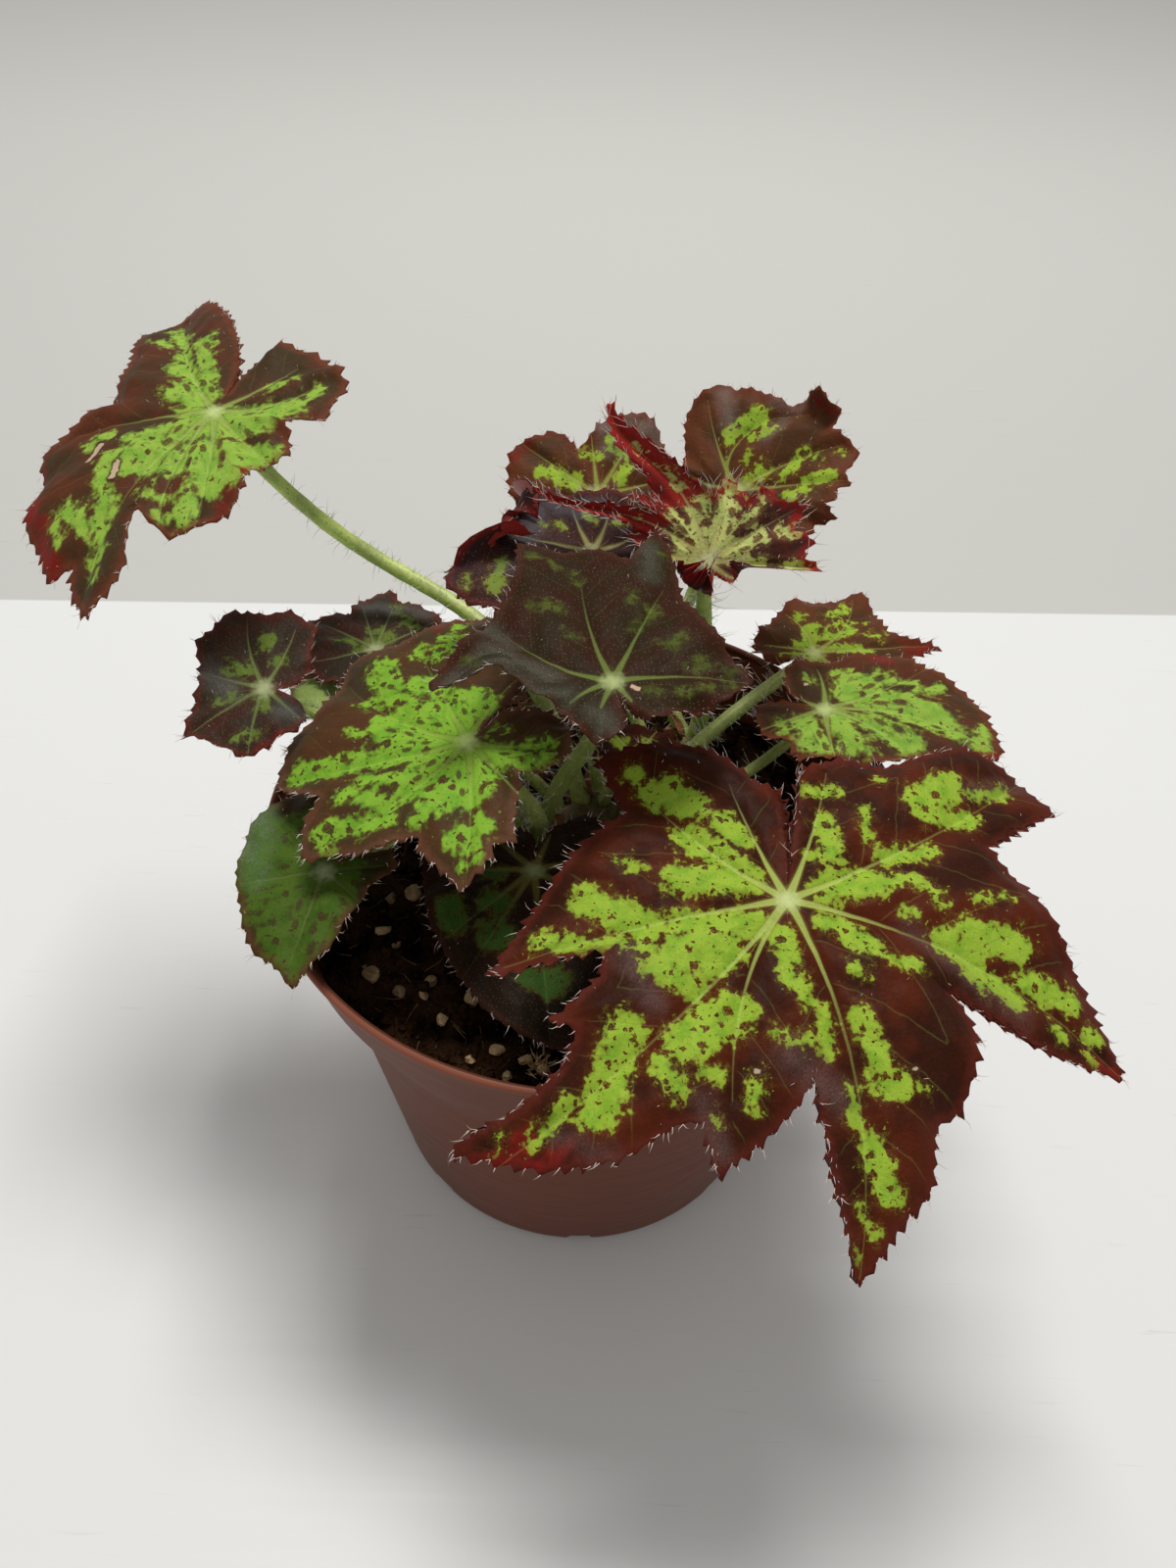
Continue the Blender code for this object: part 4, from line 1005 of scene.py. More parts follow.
def mix(part, first, second, blend_type="MIX"):
    made = node("Mix", {0: part}, part.tree if isinstance(part, Value) else first.tree,
                data_type="RGBA", blend_type=blend_type)
    put(made.inputs[6], first)
    put(made.inputs[7], second)
    return Value(made, 2)


def noise(place, scale, detail=2.0, flat=False):
    made = node("TexNoise", {"Vector": place, "Scale": scale, "Detail": detail, "Roughness": 0.55},
                noise_dimensions="2D" if flat else "3D")
    return Value(made, "Fac")


def cells(place, scale, flat=False):
    """Cell noise: the distance to the cell's middle, and a random colour for each cell."""
    made = node("TexVoronoi", {"Vector": place, "Scale": scale}, voronoi_dimensions="2D" if flat else "3D")
    return Value(made, "Distance"), Value(made, "Color")


def joined(x, y, z=0.0):
    """A vector from its parts."""
    return Value(node("CombineXYZ", {0: x, 1: y, 2: z}))


def stored(tree, name):
    return Value(node("Attribute", {}, tree, attribute_name=name), "Vector")


def object_place(tree):
    return Value(node("TexCoord", {}, tree), "Object")


def raised(height, distance, strength=1.0):
    """The normal of a surface that rises by the distance where the height is one."""
    return Value(node("Bump", {"Strength": strength, "Distance": distance, "Height": height}))


def shaded(colour, amount):
    """The colour multiplied by one amount."""
    grey = Value(node("CombineColor", {0: amount, 1: amount, 2: amount}))
    return mix(1.0, colour, grey, "MULTIPLY")


def darker(colour, share):
    return tuple(share * part for part in colour)


def new_group(name, inputs, outputs):
    """A node group with named sockets, and the Values of its inputs."""
    tree = bpy.data.node_groups.new(name, "ShaderNodeTree")
    for socket, value in inputs.items():
        number = isinstance(value, float)
        made = tree.interface.new_socket(socket, in_out="INPUT",
                                         socket_type="NodeSocketFloat" if number else "NodeSocketColor")
        made.default_value = value if number else (*value, 1.0)
    for socket in outputs:
        kind = "NodeSocketColor" if socket == "Colour" else "NodeSocketFloat"
        tree.interface.new_socket(socket, in_out="OUTPUT", socket_type=kind)
    source = tree.nodes.new("NodeGroupInput")
    return tree, {socket: Value(source, socket) for socket in inputs}


def finish_group(tree, **outputs):
    end = tree.nodes.new("NodeGroupOutput")
    for socket, value in outputs.items():
        put(end.inputs[socket], value)
    return tree


# Dark dots in the lime patches: cells to the millimetre, largest size, how much larger they are near
# a patch's edge, and how rare the large ones are
DOTS = ((0.40, 0.34, 0.18, 3.0), (0.95, 0.26, 0.22, 3.5), (1.8, 0.03, 0.28, 3.0))


def blade_group():
    """Colour, roughness and height of a blade's upper side, from the marks stored on its points."""
    tree, given = new_group("Blade marks", {
        "Ground": (0.06, 0.012, 0.01), "Ground Shade": (0.03, 0.008, 0.008), "Patch": (0.33, 0.6, 0.04),
        "Patch Edge": (0.20, 0.15, 0.02), "Vein": (0.41, 0.51, 0.12), "Rim": (0.16, 0.03, 0.02),
        "Blush": (0.19, 0.012, 0.009), "Patch Strength": 1.0, "Speckles": 1.0, "Streaks": 0.0,
        # The last input is the colour of the painted sheen, a greyish highlight on the down
        "Vein Strength": 0.75, "Frost": 0.0, "Softness": 0.18, "Highlight": (0.115, 0.068, 0.060),
    }, ("Colour", "Roughness", "Height"))
    place = stored(tree, "blade_place")
    x, y, edge = place.parts()
    aside, width, _ = stored(tree, "blade_vein").parts()
    along, away, painted_sheen = stored(tree, "blade_side").parts()
    patch, blush, scar = stored(tree, "blade_marks").parts()
    broad = noise(place, 0.33, 2.0, True) - 0.5
    ragged = noise(place, 0.8, 2.0, True) - 0.5
    fine = noise(place, 3.2, 2.0, True)

    # Patches: their stored distance made ragged by noise, streaked along the veins on some leaves
    streak_place = joined(along * 0.45, away, aside.step(-0.4, 0.4) * 7.0)
    streak = (noise(streak_place, 0.55) - 0.5) * given["Streaks"]
    reach = broad * 3.4 + ragged * 3.0 + patch + streak * 5.0
    reach = maths("MAXIMUM", reach, streak * 7.0 - 1.1)
    inside = reach.step(given["Softness"], given["Softness"] * -1.0)

    # Stray lime spots outside the patches, then dark dots of three sizes and dashes inside them
    drift = node("TexNoise", {"Vector": place, "Scale": 1.3, "Detail": 1.0}, noise_dimensions="2D")
    strayed = Value(node("VectorMath", {0: Value(drift, "Color"), 1: (1.1, 1.1, 1.1), 2: place},
                         operation="MULTIPLY_ADD"))
    close = reach.step(-2.2, -0.1)
    stray, chance = cells(strayed, 1.15, True)
    size = chance.parts()[1] ** 3.0 * 0.40 * reach.step(1.9, 0.2)
    spot = (stray - size * given["Speckles"]).step(0.03, -0.06)
    inside = maths("MAXIMUM", inside, spot * 0.8)
    for scale, largest, growth, rarity in DOTS:
        dot, chance = cells(strayed, scale, True)
        size = chance.parts()[0] ** rarity * (close * growth + largest) * given["Speckles"]
        inside = inside * (1.0 - (dot - size).step(0.03, -0.06))
    dash, chance = cells(streak_place, 0.62)
    size = chance.parts()[0] ** 2.0 * given["Streaks"] * (close * 0.16 + 0.34)
    dash = (fine * 0.16 + dash - size).step(0.18, -0.02)
    inside = inside * (dash * -0.9 + 1.0)
    ring = reach.step(-0.9, 0.0) * inside
    faint = reach.step(1.4, -0.4) - inside

    # Ground, the patches' faint outer and inner edges, and the patches
    ground = mix((broad * 0.35 + noise(place, 0.085, 1.0, True)).step(0.30, 0.68),
                 given["Ground"], given["Ground Shade"])
    ground = mix(ragged.step(0.0, 0.3) * 0.18, ground, given["Rim"])
    colour = mix(faint * fine.step(0.3, 0.9), ground, given["Patch Edge"])
    lime = mix(ring * 0.45, given["Patch"], given["Patch Edge"])
    lime = mix(broad.step(-0.1, 0.2), lime, mix(1.0, lime, (0.72, 0.86, 0.75), "MULTIPLY"))
    colour = mix(inside * given["Patch Strength"], colour, lime)

    # Rim, flush, main veins with their outline, side veins and the star at the joint
    rim = 1.0 - (ragged * 1.6 + edge).step(0.1, 1.7)
    colour = mix(rim * (inside * -0.25 + 0.85), colour, given["Rim"])
    red = (broad * 5.0 + blush).step(1.0, -2.0)
    colour = mix(red * (inside * -0.75 + 0.9), colour, given["Blush"])
    main = maths("ABSOLUTE", aside) - width
    outline = main.step(0.55, 0.0) * along.step(12.0, 3.0)
    colour = mix(outline * 0.55, colour, given["Patch Edge"])
    fading = along.step(6.0, 36.0) * -0.55 + 1.0
    fading = fading * ((1.0 - inside) * along.step(6.0, 22.0) * -0.5 + 1.0)
    main = main.step(0.14, -0.1) * fading * given["Vein Strength"]
    colour = mix(main, colour, given["Vein"])
    side = maths("PINGPONG", broad * 1.2 + away * -SIDE_VEIN_SLANT + along, SIDE_VEIN_SPACING / 2)
    side = side.step(0.26, 0.06) * away.step(0.3, 1.2) * edge.step(0.5, 3.0)
    colour = mix(side * given["Vein Strength"] * 0.10, colour, given["Vein"])
    middle = (ragged * 2.0 + maths("SQRT", x * x + y * y)).step(2.7, 0.3)
    colour = mix(middle * (given["Vein Strength"] * 0.5 + 0.55), colour,
                 mix(0.4, given["Vein"], (0.75, 0.78, 0.48)))

    # Painted sheen (a greyish highlight where the down catches the light), dry scars, tiny pale hair bases
    # and fine mottling
    painted_sheen_mask = (broad * 2.5 + painted_sheen).step(2.2, -2.4) * (fine * 1.1 + 0.15)
    colour = mix(painted_sheen_mask * (inside * -0.5 + 0.9), colour, given["Highlight"])
    scar = ragged + scar
    colour = mix(scar.step(0.7, 0.1) * 0.85, colour, (0.05, 0.022, 0.01))
    colour = mix(scar.step(0.1, -0.15), colour, (0.50, 0.37, 0.25))
    dust, chance = cells(place, 1.5, True)
    dust = dust.step(0.17, 0.1) * chance.parts()[1].step(0.45, 0.6)
    colour = mix(dust * given["Frost"], colour, (0.55, 0.5, 0.42))

    pebble, _ = cells(place, 1.25, True)
    height = pebble * -0.55 + fine * 0.25 + side * -0.3 + main * -0.25
    return finish_group(tree, Colour=shaded(colour, fine * 0.4 + 0.8),
                        Roughness=inside * 0.06 + fine * 0.2 + 0.40, Height=height)


def under_group():
    """Colour and height of a blade's under side: paler veins standing out of a flushed ground."""
    tree, given = new_group("Blade underside", {
        "Ground": (0.13, 0.03, 0.025), "Ground Shade": (0.07, 0.05, 0.02), "Vein": (0.32, 0.3, 0.12),
    }, ("Colour", "Height"))
    place = stored(tree, "blade_place")
    aside, width, _ = stored(tree, "blade_vein").parts()
    along, away, _ = stored(tree, "blade_side").parts()
    patch, _, _ = stored(tree, "blade_marks").parts()
    broad = noise(place, 0.4, 3.0, True) - 0.5
    fine = noise(place, 2.4, 2.0, True)
    colour = mix((broad * 4.0 + patch).step(0.8, -0.8), given["Ground"], given["Ground Shade"])
    main = (maths("ABSOLUTE", aside) - width).step(0.25, -0.1)
    side = maths("PINGPONG", away * -SIDE_VEIN_SLANT + along, SIDE_VEIN_SPACING / 2)
    side = side.step(0.4, 0.1) * away.step(0.3, 1.2)
    lines = maths("MAXIMUM", main, side * 0.5)
    colour = mix(lines, colour, given["Vein"])
    return finish_group(tree, Colour=shaded(colour, fine * 0.6 + 0.7), Height=lines * 0.6 + fine * 0.4)


def speckle_group():
    """Two colours mixed by fine and coarse noise, with darker flecks: soil, bark, stalks and grit."""
    tree, given = new_group("Speckled skin", {
        "Light": (0.3, 0.35, 0.1), "Dark": (0.15, 0.2, 0.04), "Fleck": (0.1, 0.02, 0.01), "Scale": 1.0,
        "Flecks": 0.3,
    }, ("Colour", "Roughness", "Height"))
    place = object_place(tree)
    fine_scale = given["Scale"] * 1100.0
    coarse = noise(place, given["Scale"] * 160.0, 3.0)
    fine = noise(place, fine_scale, 3.0)
    colour = mix(coarse.step(0.35, 0.65), given["Light"], given["Dark"])
    speck, _ = cells(place, fine_scale)
    fleck = speck.step(0.3, 0.15) * fine.step(0.42, 0.6)
    colour = mix(fleck * given["Flecks"], colour, given["Fleck"])
    return finish_group(tree, Colour=shaded(colour, fine * 0.7 + 0.65), Roughness=coarse * 0.4 + 0.3,
                        Height=fine)


def group_named(name):
    """The node group of that name, built the first time that it is asked for."""
    makers = {"Blade marks": blade_group, "Blade underside": under_group, "Speckled skin": speckle_group}
    return bpy.data.node_groups.get(name) or makers[name]()


def new_material(name):
    material = bpy.data.materials.new(name)
    material.use_nodes = True
    return material


def dress(material, **inputs):
    """Sets or links inputs of a material's shader; an underscore in a name stands for a space."""
    shader = material.node_tree.nodes["Principled BSDF"]
    for key, value in inputs.items():
        put(shader.inputs[key.replace("_", " ")], value)
    return material


def grouped_material(name, group, looks, bump, **inputs):
    """A material fed by a node group: colour, bump, and roughness where no number is given for it."""
    material = new_material(name)
    made = material.node_tree.nodes.new("ShaderNodeGroup")
    made.node_tree = group_named(group)
    for key, value in looks.items():
        put(made.inputs[key.replace("_", " ")], value)
    if "Roughness" not in inputs:
        inputs["Roughness"] = Value(made, "Roughness")
    inputs["Normal"] = raised(Value(made, "Height"), bump)
    return dress(material, Base_Color=Value(made, "Colour"), **inputs)


LIME = (0.30, 0.45, 0.040)
# Each look's colour for the painted sheen is a greyish highlight, not a pigment
BLADE_LOOKS = {
    "maroon": dict(Ground=(0.082, 0.015, 0.005), Ground_Shade=(0.034, 0.009, 0.004), Patch=LIME,
                   Rim=(0.10, 0.017, 0.010), Speckles=0.9),
    "warm": dict(Ground=(0.112, 0.036, 0.014), Ground_Shade=(0.068, 0.030, 0.012), Patch=LIME,
                 Rim=(0.13, 0.03, 0.014), Vein_Strength=0.4, Highlight=(0.17, 0.13, 0.115)),
    "bright": dict(Ground=(0.090, 0.026, 0.011), Ground_Shade=(0.050, 0.030, 0.012),
                   Patch=(0.27, 0.43, 0.055), Rim=(0.15, 0.04, 0.018), Streaks=1.0, Speckles=0.65,
                   Patch_Edge=(0.15, 0.16, 0.03), Vein=(0.42, 0.57, 0.14), Vein_Strength=0.35,
                   Softness=0.8),
    "olive": dict(Ground=(0.078, 0.033, 0.013), Ground_Shade=(0.052, 0.034, 0.013),
                  Patch=(0.22, 0.42, 0.035), Rim=(0.125, 0.050, 0.026), Streaks=0.8, Speckles=0.95,
                  Patch_Edge=(0.11, 0.13, 0.02), Vein=(0.36, 0.54, 0.09), Vein_Strength=0.3,
                  Softness=0.6),
    "dark": dict(Ground=(0.034, 0.010, 0.004), Ground_Shade=(0.024, 0.015, 0.005),
                 Patch=(0.080, 0.10, 0.014), Rim=(0.060, 0.018, 0.010), Patch_Strength=0.85, Frost=0.12,
                 Vein=(0.24, 0.33, 0.07), Vein_Strength=0.4, Streaks=0.3,
                 Patch_Edge=(0.045, 0.048, 0.01), Softness=1.0, Highlight=(0.080, 0.084, 0.060)),
    "dusky": dict(Ground=(0.052, 0.020, 0.013), Ground_Shade=(0.032, 0.025, 0.015),
                  Patch=(0.13, 0.19, 0.03), Rim=(0.10, 0.022, 0.014), Patch_Strength=0.9, Frost=0.12,
                  Vein=(0.22, 0.28, 0.09), Vein_Strength=0.42, Streaks=0.6,
                  Patch_Edge=(0.07, 0.075, 0.02), Softness=0.5, Highlight=(0.10, 0.10, 0.09)),
    "plain": dict(Ground=(0.050, 0.030, 0.011), Ground_Shade=(0.036, 0.034, 0.010),
                  Patch=(0.062, 0.112, 0.012), Rim=(0.095, 0.038, 0.016), Speckles=0.8,
                  Patch_Edge=(0.065, 0.075, 0.014), Vein=(0.12, 0.19, 0.05), Vein_Strength=0.35,
                  Streaks=0.9, Softness=0.9, Highlight=(0.12, 0.21, 0.09)),
    "purple": dict(Ground=(0.044, 0.015, 0.012), Ground_Shade=(0.028, 0.014, 0.015),
                   Patch=(0.20, 0.29, 0.04), Rim=(0.10, 0.02, 0.015), Patch_Strength=0.85,
                   Vein=(0.26, 0.27, 0.13), Vein_Strength=0.6, Frost=0.15, Softness=0.35,
                   Highlight=(0.085, 0.078, 0.090)),
    "shade": dict(Ground=(0.030, 0.013, 0.007), Ground_Shade=(0.018, 0.011, 0.006),
                  Patch=(0.06, 0.14, 0.022), Rim=(0.045, 0.015, 0.008), Patch_Strength=0.8, Frost=0.1,
                  Vein=(0.24, 0.34, 0.12), Vein_Strength=0.2, Softness=0.8),
    "pale": dict(Ground=(0.20, 0.25, 0.08), Ground_Shade=(0.15, 0.18, 0.06), Patch=(0.34, 0.46, 0.13),
                 Rim=(0.18, 0.13, 0.06), Speckles=0.3, Patch_Edge=(0.3, 0.4, 0.1)),
    "young": dict(Ground=(0.095, 0.028, 0.020), Ground_Shade=(0.060, 0.026, 0.024),
                  Patch=(0.50, 0.56, 0.17), Rim=(0.26, 0.02, 0.015), Blush=(0.28, 0.018, 0.014),
                  Streaks=1.0, Patch_Edge=(0.3, 0.2, 0.06), Vein_Strength=0.45, Vein=(0.50, 0.54, 0.20)),
}


def hair_material(name, colour):
    """Fine pale hairs, with a little emission: a painted glow for the light that passes through them."""
    material = new_material(name)
    wander = noise(object_place(material.node_tree), 300.0)
    tint = mix(wander.step(0.3, 0.7), colour, darker(colour, 0.72))
    # The emission is a painted glow
    return dress(material, Base_Color=tint, Roughness=0.5, Emission_Color=colour, Emission_Strength=0.05)


def pot_material(colour):
    """Moulded terracotta plastic: fine grain, scuffs and dark specks, with painted shade on the top of the
    lip and a painted highlight along its outer edge.
    """
    material = new_material("terracotta_plastic_moulded")
    place = object_place(material.node_tree)
    x, y, z = place.parts()
    tone = mix(noise(place, 25.0, 3.0).step(0.3, 0.7), colour, darker(colour, 0.86))
    speck, chance = cells(place, 260.0)
    dirt = speck.step(0.13, 0.07) * chance.parts()[0].step(0.9, 0.95)
    tone = mix(dirt * 0.8, tone, (0.03, 0.015, 0.01))
    scuff = noise(joined(x * 60.0, y * 60.0, z * 900.0), 1.0, 3.0)
    tone = mix(scuff.step(0.62, 0.8) * 0.15, tone, (0.35, 0.17, 0.11))
    # Painted shade over the top of the lip, and a painted highlight along its outer edge
    lip = z.step(RIM_TOP * MM - 0.0012, RIM_TOP * MM - 0.0005)
    edge = maths("SQRT", x * x + y * y).step(RIM_RADIUS * MM - 0.0011, RIM_RADIUS * MM - 0.0004)
    tone = mix(lip * 0.7, tone, mix(edge, (0.075, 0.021, 0.010), (0.30, 0.095, 0.055)))
    height = noise(place, 2200.0) * 0.5 + scuff * 0.5
    return dress(material, Base_Color=tone, Roughness=scuff * 0.22 + 0.30, Specular_IOR_Level=0.18,
                 Normal=raised(height, 0.00006, 0.5))


def floor_material(colour, far_shade_colour):
    """Matt white paint with faint brush strokes; beyond the far line it is darker, painted shade for a wall
    in shade, and darkest close to the line.
    """
    material = new_material("studio_floor")
    place = object_place(material.node_tree)
    x, y, _ = place.parts()
    stroke = noise(joined(x * 14.0, y * 420.0), 1.0, 3.0)
    # Painted shade beyond the far line, standing in for a wall in shade, darkest close to the line
    far = (x * -FAR_LINE_SLOPE + y).step(FAR_LINE - 0.0006, FAR_LINE + 0.0006)
    tone = mix(far, colour, mix(y.step(0.2, 0.75), darker(far_shade_colour, 0.84), far_shade_colour))
    crack = noise(joined(x * 38.0, y * 700.0), 1.0, 3.0).step(0.66, 0.74)
    tone = mix(crack * noise(place, 9.0).step(0.45, 0.62) * 0.22, tone, (0.35, 0.34, 0.32))
    return dress(material, Base_Color=tone, Roughness=stroke * 0.2 + 0.42,
                 Normal=raised(stroke, 0.00008, 0.25))


# Soil, pot and grains

ICO = (1.0 + math.sqrt(5.0)) / 2.0
ICO_POINTS = unit(np.array([
    (-1, ICO, 0), (1, ICO, 0), (-1, -ICO, 0), (1, -ICO, 0), (0, -1, ICO), (0, 1, ICO),
    (0, -1, -ICO), (0, 1, -ICO), (ICO, 0, -1), (ICO, 0, 1), (-ICO, 0, -1), (-ICO, 0, 1)]))
ICO_FACES = np.array([
    (0, 11, 5), (0, 5, 1), (0, 1, 7), (0, 7, 10), (0, 10, 11), (1, 5, 9), (5, 11, 4), (11, 10, 2),
    (10, 7, 6), (7, 1, 8), (3, 9, 4), (3, 4, 2), (3, 2, 6), (3, 6, 8), (3, 8, 9), (4, 9, 5),
    (2, 4, 11), (6, 2, 10), (8, 6, 7), (9, 8, 1)])


def finer_ball(points, faces):
    """Each triangle split into four, with the new points pushed out to the unit ball."""
    sides = np.sort(np.concatenate([faces[:, [0, 1]], faces[:, [1, 2]], faces[:, [2, 0]]]), axis=1)
    edges, which = np.unique(sides, axis=0, return_inverse=True)
    which = which.reshape(3, -1).T + len(points)
    middles = unit(points[edges].mean(1))
    a, b, c = faces.T
    ab, bc, ca = which.T
    split_faces = [(a, ab, ca), (ab, b, bc), (ca, bc, c), (ab, bc, ca)]
    return np.vstack([points, middles]), np.concatenate([np.stack(group, -1) for group in split_faces])


def grains(centres, sizes, rng, ball, squash=0.75, roughness=0.22, cuts=0):
    """Lumps: balls cut flat by random planes, stretched along three axes, dented and turned about z.

    A cut moves each point beyond its plane, at 0.45 to 0.8 of the radius, straight back onto it."""
    points, faces = ball
    count = len(centres)
    stretch = rng.uniform(0.7, 1.25, (count, 1, 3)) * np.array([1.0, 1.0, squash])
    dents = 1.0 + roughness * rng.uniform(-1.0, 1.0, (count, len(points), 1))
    lumps = points[None] * dents
    for _ in range(cuts):
        normal = unit(rng.normal(size=(count, 1, 3)))
        beyond = (lumps * normal).sum(-1, keepdims=True) - rng.uniform(0.45, 0.8, (count, 1, 1))
        lumps = lumps - np.maximum(beyond, 0.0) * normal
    lumps = lumps * stretch * sizes[:, None, None]
    turn = rng.uniform(0.0, 2.0 * math.pi, count)[:, None]
    x = lumps[..., 0] * np.cos(turn) - lumps[..., 1] * np.sin(turn)
    y = lumps[..., 0] * np.sin(turn) + lumps[..., 1] * np.cos(turn)
    places = np.stack([x, y, lumps[..., 2]], -1) + centres[:, None]
    start = len(points) * np.arange(count)[:, None, None]
    return places.reshape(-1, 3), [(faces + start).reshape(-1, 3)]


# Places on the soil as (x, y): large grains of grit, and a tuft of straw
LARGE_GRIT = ((-24, -38), (-32, -33), (-37, -20), (-19, -33), (-27, -30), (-14, -44), (-38, -29),
              (-33, -11), (-28, -4), (26, 26), (33, 17), (-6, -47))
TUFT_PLACE = (-6.5, -46.5)


def soil_height(x, y, lumps):
    """Height of the soil's surface: three sizes of noise, sinking a little towards the wall."""
    away = np.hypot(x, y)
    rough = (1.3 * lattice_noise(x, y, 9.0, 3) + 0.8 * lattice_noise(x, y, 3.4, 4)
             + 0.5 * lattice_noise(x, y, 1.5, 5))
    return SOIL_TOP - 0.6 + lumps * rough - 1.2 * ease(away, SOIL_RADIUS * 0.8, SOIL_RADIUS)


def turned_piece(profile, sides):
    """Points and faces of a profile of (radius, height) carried round z, from the axis to the axis."""
    profile = np.array(profile, float)
    turn = turns(sides)
    ring = profile[1:-1]
    points = np.stack([ring[:, :1] * np.cos(turn), ring[:, :1] * np.sin(turn),
                       np.broadcast_to(ring[:, 1:], (len(ring), sides))], -1).reshape(-1, 3)
    points = np.vstack([(0, 0, profile[0, 1]), points, (0, 0, profile[-1, 1])])
    last = len(points) - 1
    return points, [fan_faces(0, 1, sides, True), grid_faces(len(ring), sides, 1)[:, ::-1],
                    fan_faces(last, last - sides, sides)]


def rounded(profile, spacing):
    """A profile with more points, spaced along it, so that it bends evenly."""
    profile = np.array(profile, float)
    run = np.concatenate([[0.0], np.cumsum(np.linalg.norm(np.diff(profile, axis=0), axis=1))])
    kept = np.unique(np.concatenate([run, np.arange(0.0, run[-1], spacing)]))
    return np.stack([np.interp(kept, run, profile[:, 0]), np.interp(kept, run, profile[:, 1])], -1)


# Settings


class BladeSettings(bpy.types.PropertyGroup):
    tooth_pitch: bpy.props.FloatProperty(
        name="Tooth Pitch", description="Distance between teeth along a blade's margin",
        default=0.0026, unit="LENGTH")
    tooth_height: bpy.props.FloatProperty(
        name="Tooth Height", description="How far the teeth stand out", default=0.0010, unit="LENGTH")
    vein_depth: bpy.props.FloatProperty(
        name="Vein Depth", description="Depth of the grooves over the main veins", default=0.0005,
        unit="LENGTH")
    vein_spacing: bpy.props.FloatProperty(
        name="Side Vein Spacing", description="Distance between side veins along a main vein",
        default=SIDE_VEIN_SPACING * MM, unit="LENGTH")
    quilt_height: bpy.props.FloatProperty(
        name="Quilting", description="Height of the swellings between side veins", default=0.00022,
        unit="LENGTH")
    hair_length: bpy.props.FloatProperty(
        name="Hair Length", description="Length of the hairs on the margins", default=0.0017, unit="LENGTH")
    hair_colour: bpy.props.FloatVectorProperty(
        name="Hair Colour", description="Colour of the hairs on the blades", subtype="COLOR",
        default=(0.80, 0.66, 0.60))


class StalkSettings(bpy.types.PropertyGroup):
    colour: bpy.props.FloatVectorProperty(
        name="Stalk Colour", description="Lighter colour of the stalks", subtype="COLOR",
        default=(0.50, 0.58, 0.17))
    hair_length: bpy.props.FloatProperty(
        name="Hair Length", description="Length of the hairs on the stalks", default=0.0026, unit="LENGTH")
    hair_spacing: bpy.props.FloatProperty(
        name="Hair Spacing", description="Length of stalk for each hair", default=0.00040, unit="LENGTH")
    hair_colour: bpy.props.FloatVectorProperty(
        name="Hair Colour", description="Colour of the hairs on the stalks", subtype="COLOR",
        default=(0.78, 0.80, 0.66))


class SoilSettings(bpy.types.PropertyGroup):
    lumps: bpy.props.FloatProperty(
        name="Lumps", description="Share of the full roughness of the soil's surface", default=1.0,
        subtype="FACTOR")
    crumbs: bpy.props.IntProperty(
        name="Crumbs", description="Number of dark crumbs on the soil", default=1500)
    grit: bpy.props.IntProperty(name="Grit", description="Number of pale grains of grit", default=52)
    grit_colour: bpy.props.FloatVectorProperty(
        name="Grit Colour", description="Colour of the pale grit", subtype="COLOR",
        default=(0.80, 0.58, 0.30))


class PotSettings(bpy.types.PropertyGroup):
    sides: bpy.props.IntProperty(name="Sides", description="Facets round the pot", default=240)
    colour: bpy.props.FloatVectorProperty(
        name="Pot Colour", description="Colour of the plastic", subtype="COLOR",
        default=(0.150, 0.040, 0.017))


class StageSettings(bpy.types.PropertyGroup):
    floor_colour: bpy.props.FloatVectorProperty(
        name="Floor Colour", description="Colour of the floor", subtype="COLOR",
        default=(0.78, 0.79, 0.79))
    # The far colour is painted shade: the floor beyond its far line stands in for a wall in shade
    far_shade_colour: bpy.props.FloatVectorProperty(
        name="Far Colour", description="Colour of the floor beyond its far line", subtype="COLOR",
        default=(0.66, 0.66, 0.63))
    key_power: bpy.props.FloatProperty(
        name="Key Light", description="Power of the soft light overhead", default=11.8, unit="POWER")
    fill: bpy.props.FloatProperty(
        name="Fill Light", description="Strength of the light from all round", default=0.42)


class BegoniaSettings(bpy.types.PropertyGroup):
    blades: bpy.props.PointerProperty(type=BladeSettings, name="Blades", description="Leaf blades")
    stalks: bpy.props.PointerProperty(type=StalkSettings, name="Stalks", description="Leaf stalks")
    soil: bpy.props.PointerProperty(type=SoilSettings, name="Soil", description="Soil and grit")
    pot: bpy.props.PointerProperty(type=PotSettings, name="Pot", description="Nursery pot")
    stage: bpy.props.PointerProperty(type=StageSettings, name="Stage", description="Floor and lights")


# Operators


def add_hairs(name, hairs, colour, seed, width):
    """One piece of all hairs, from a list of (roots, directions, lengths)."""
    roots, directions, lengths = (np.concatenate(part) for part in zip(*hairs))
    points, faces = hair_mesh(roots, directions, lengths, np.random.default_rng(seed), width)
    add_piece(f"{name}s", points, faces, [hair_material(name, tuple(colour))])


def speckled(name, light, dark, fleck, scale, flecks, **inputs):
    """A material of two colours with flecks of a third; scale is how fine its marks are."""
    looks = dict(Light=light, Dark=dark, Fleck=fleck, Scale=scale, Flecks=flecks)
    return grouped_material(name, "Speckled skin", looks, **inputs)


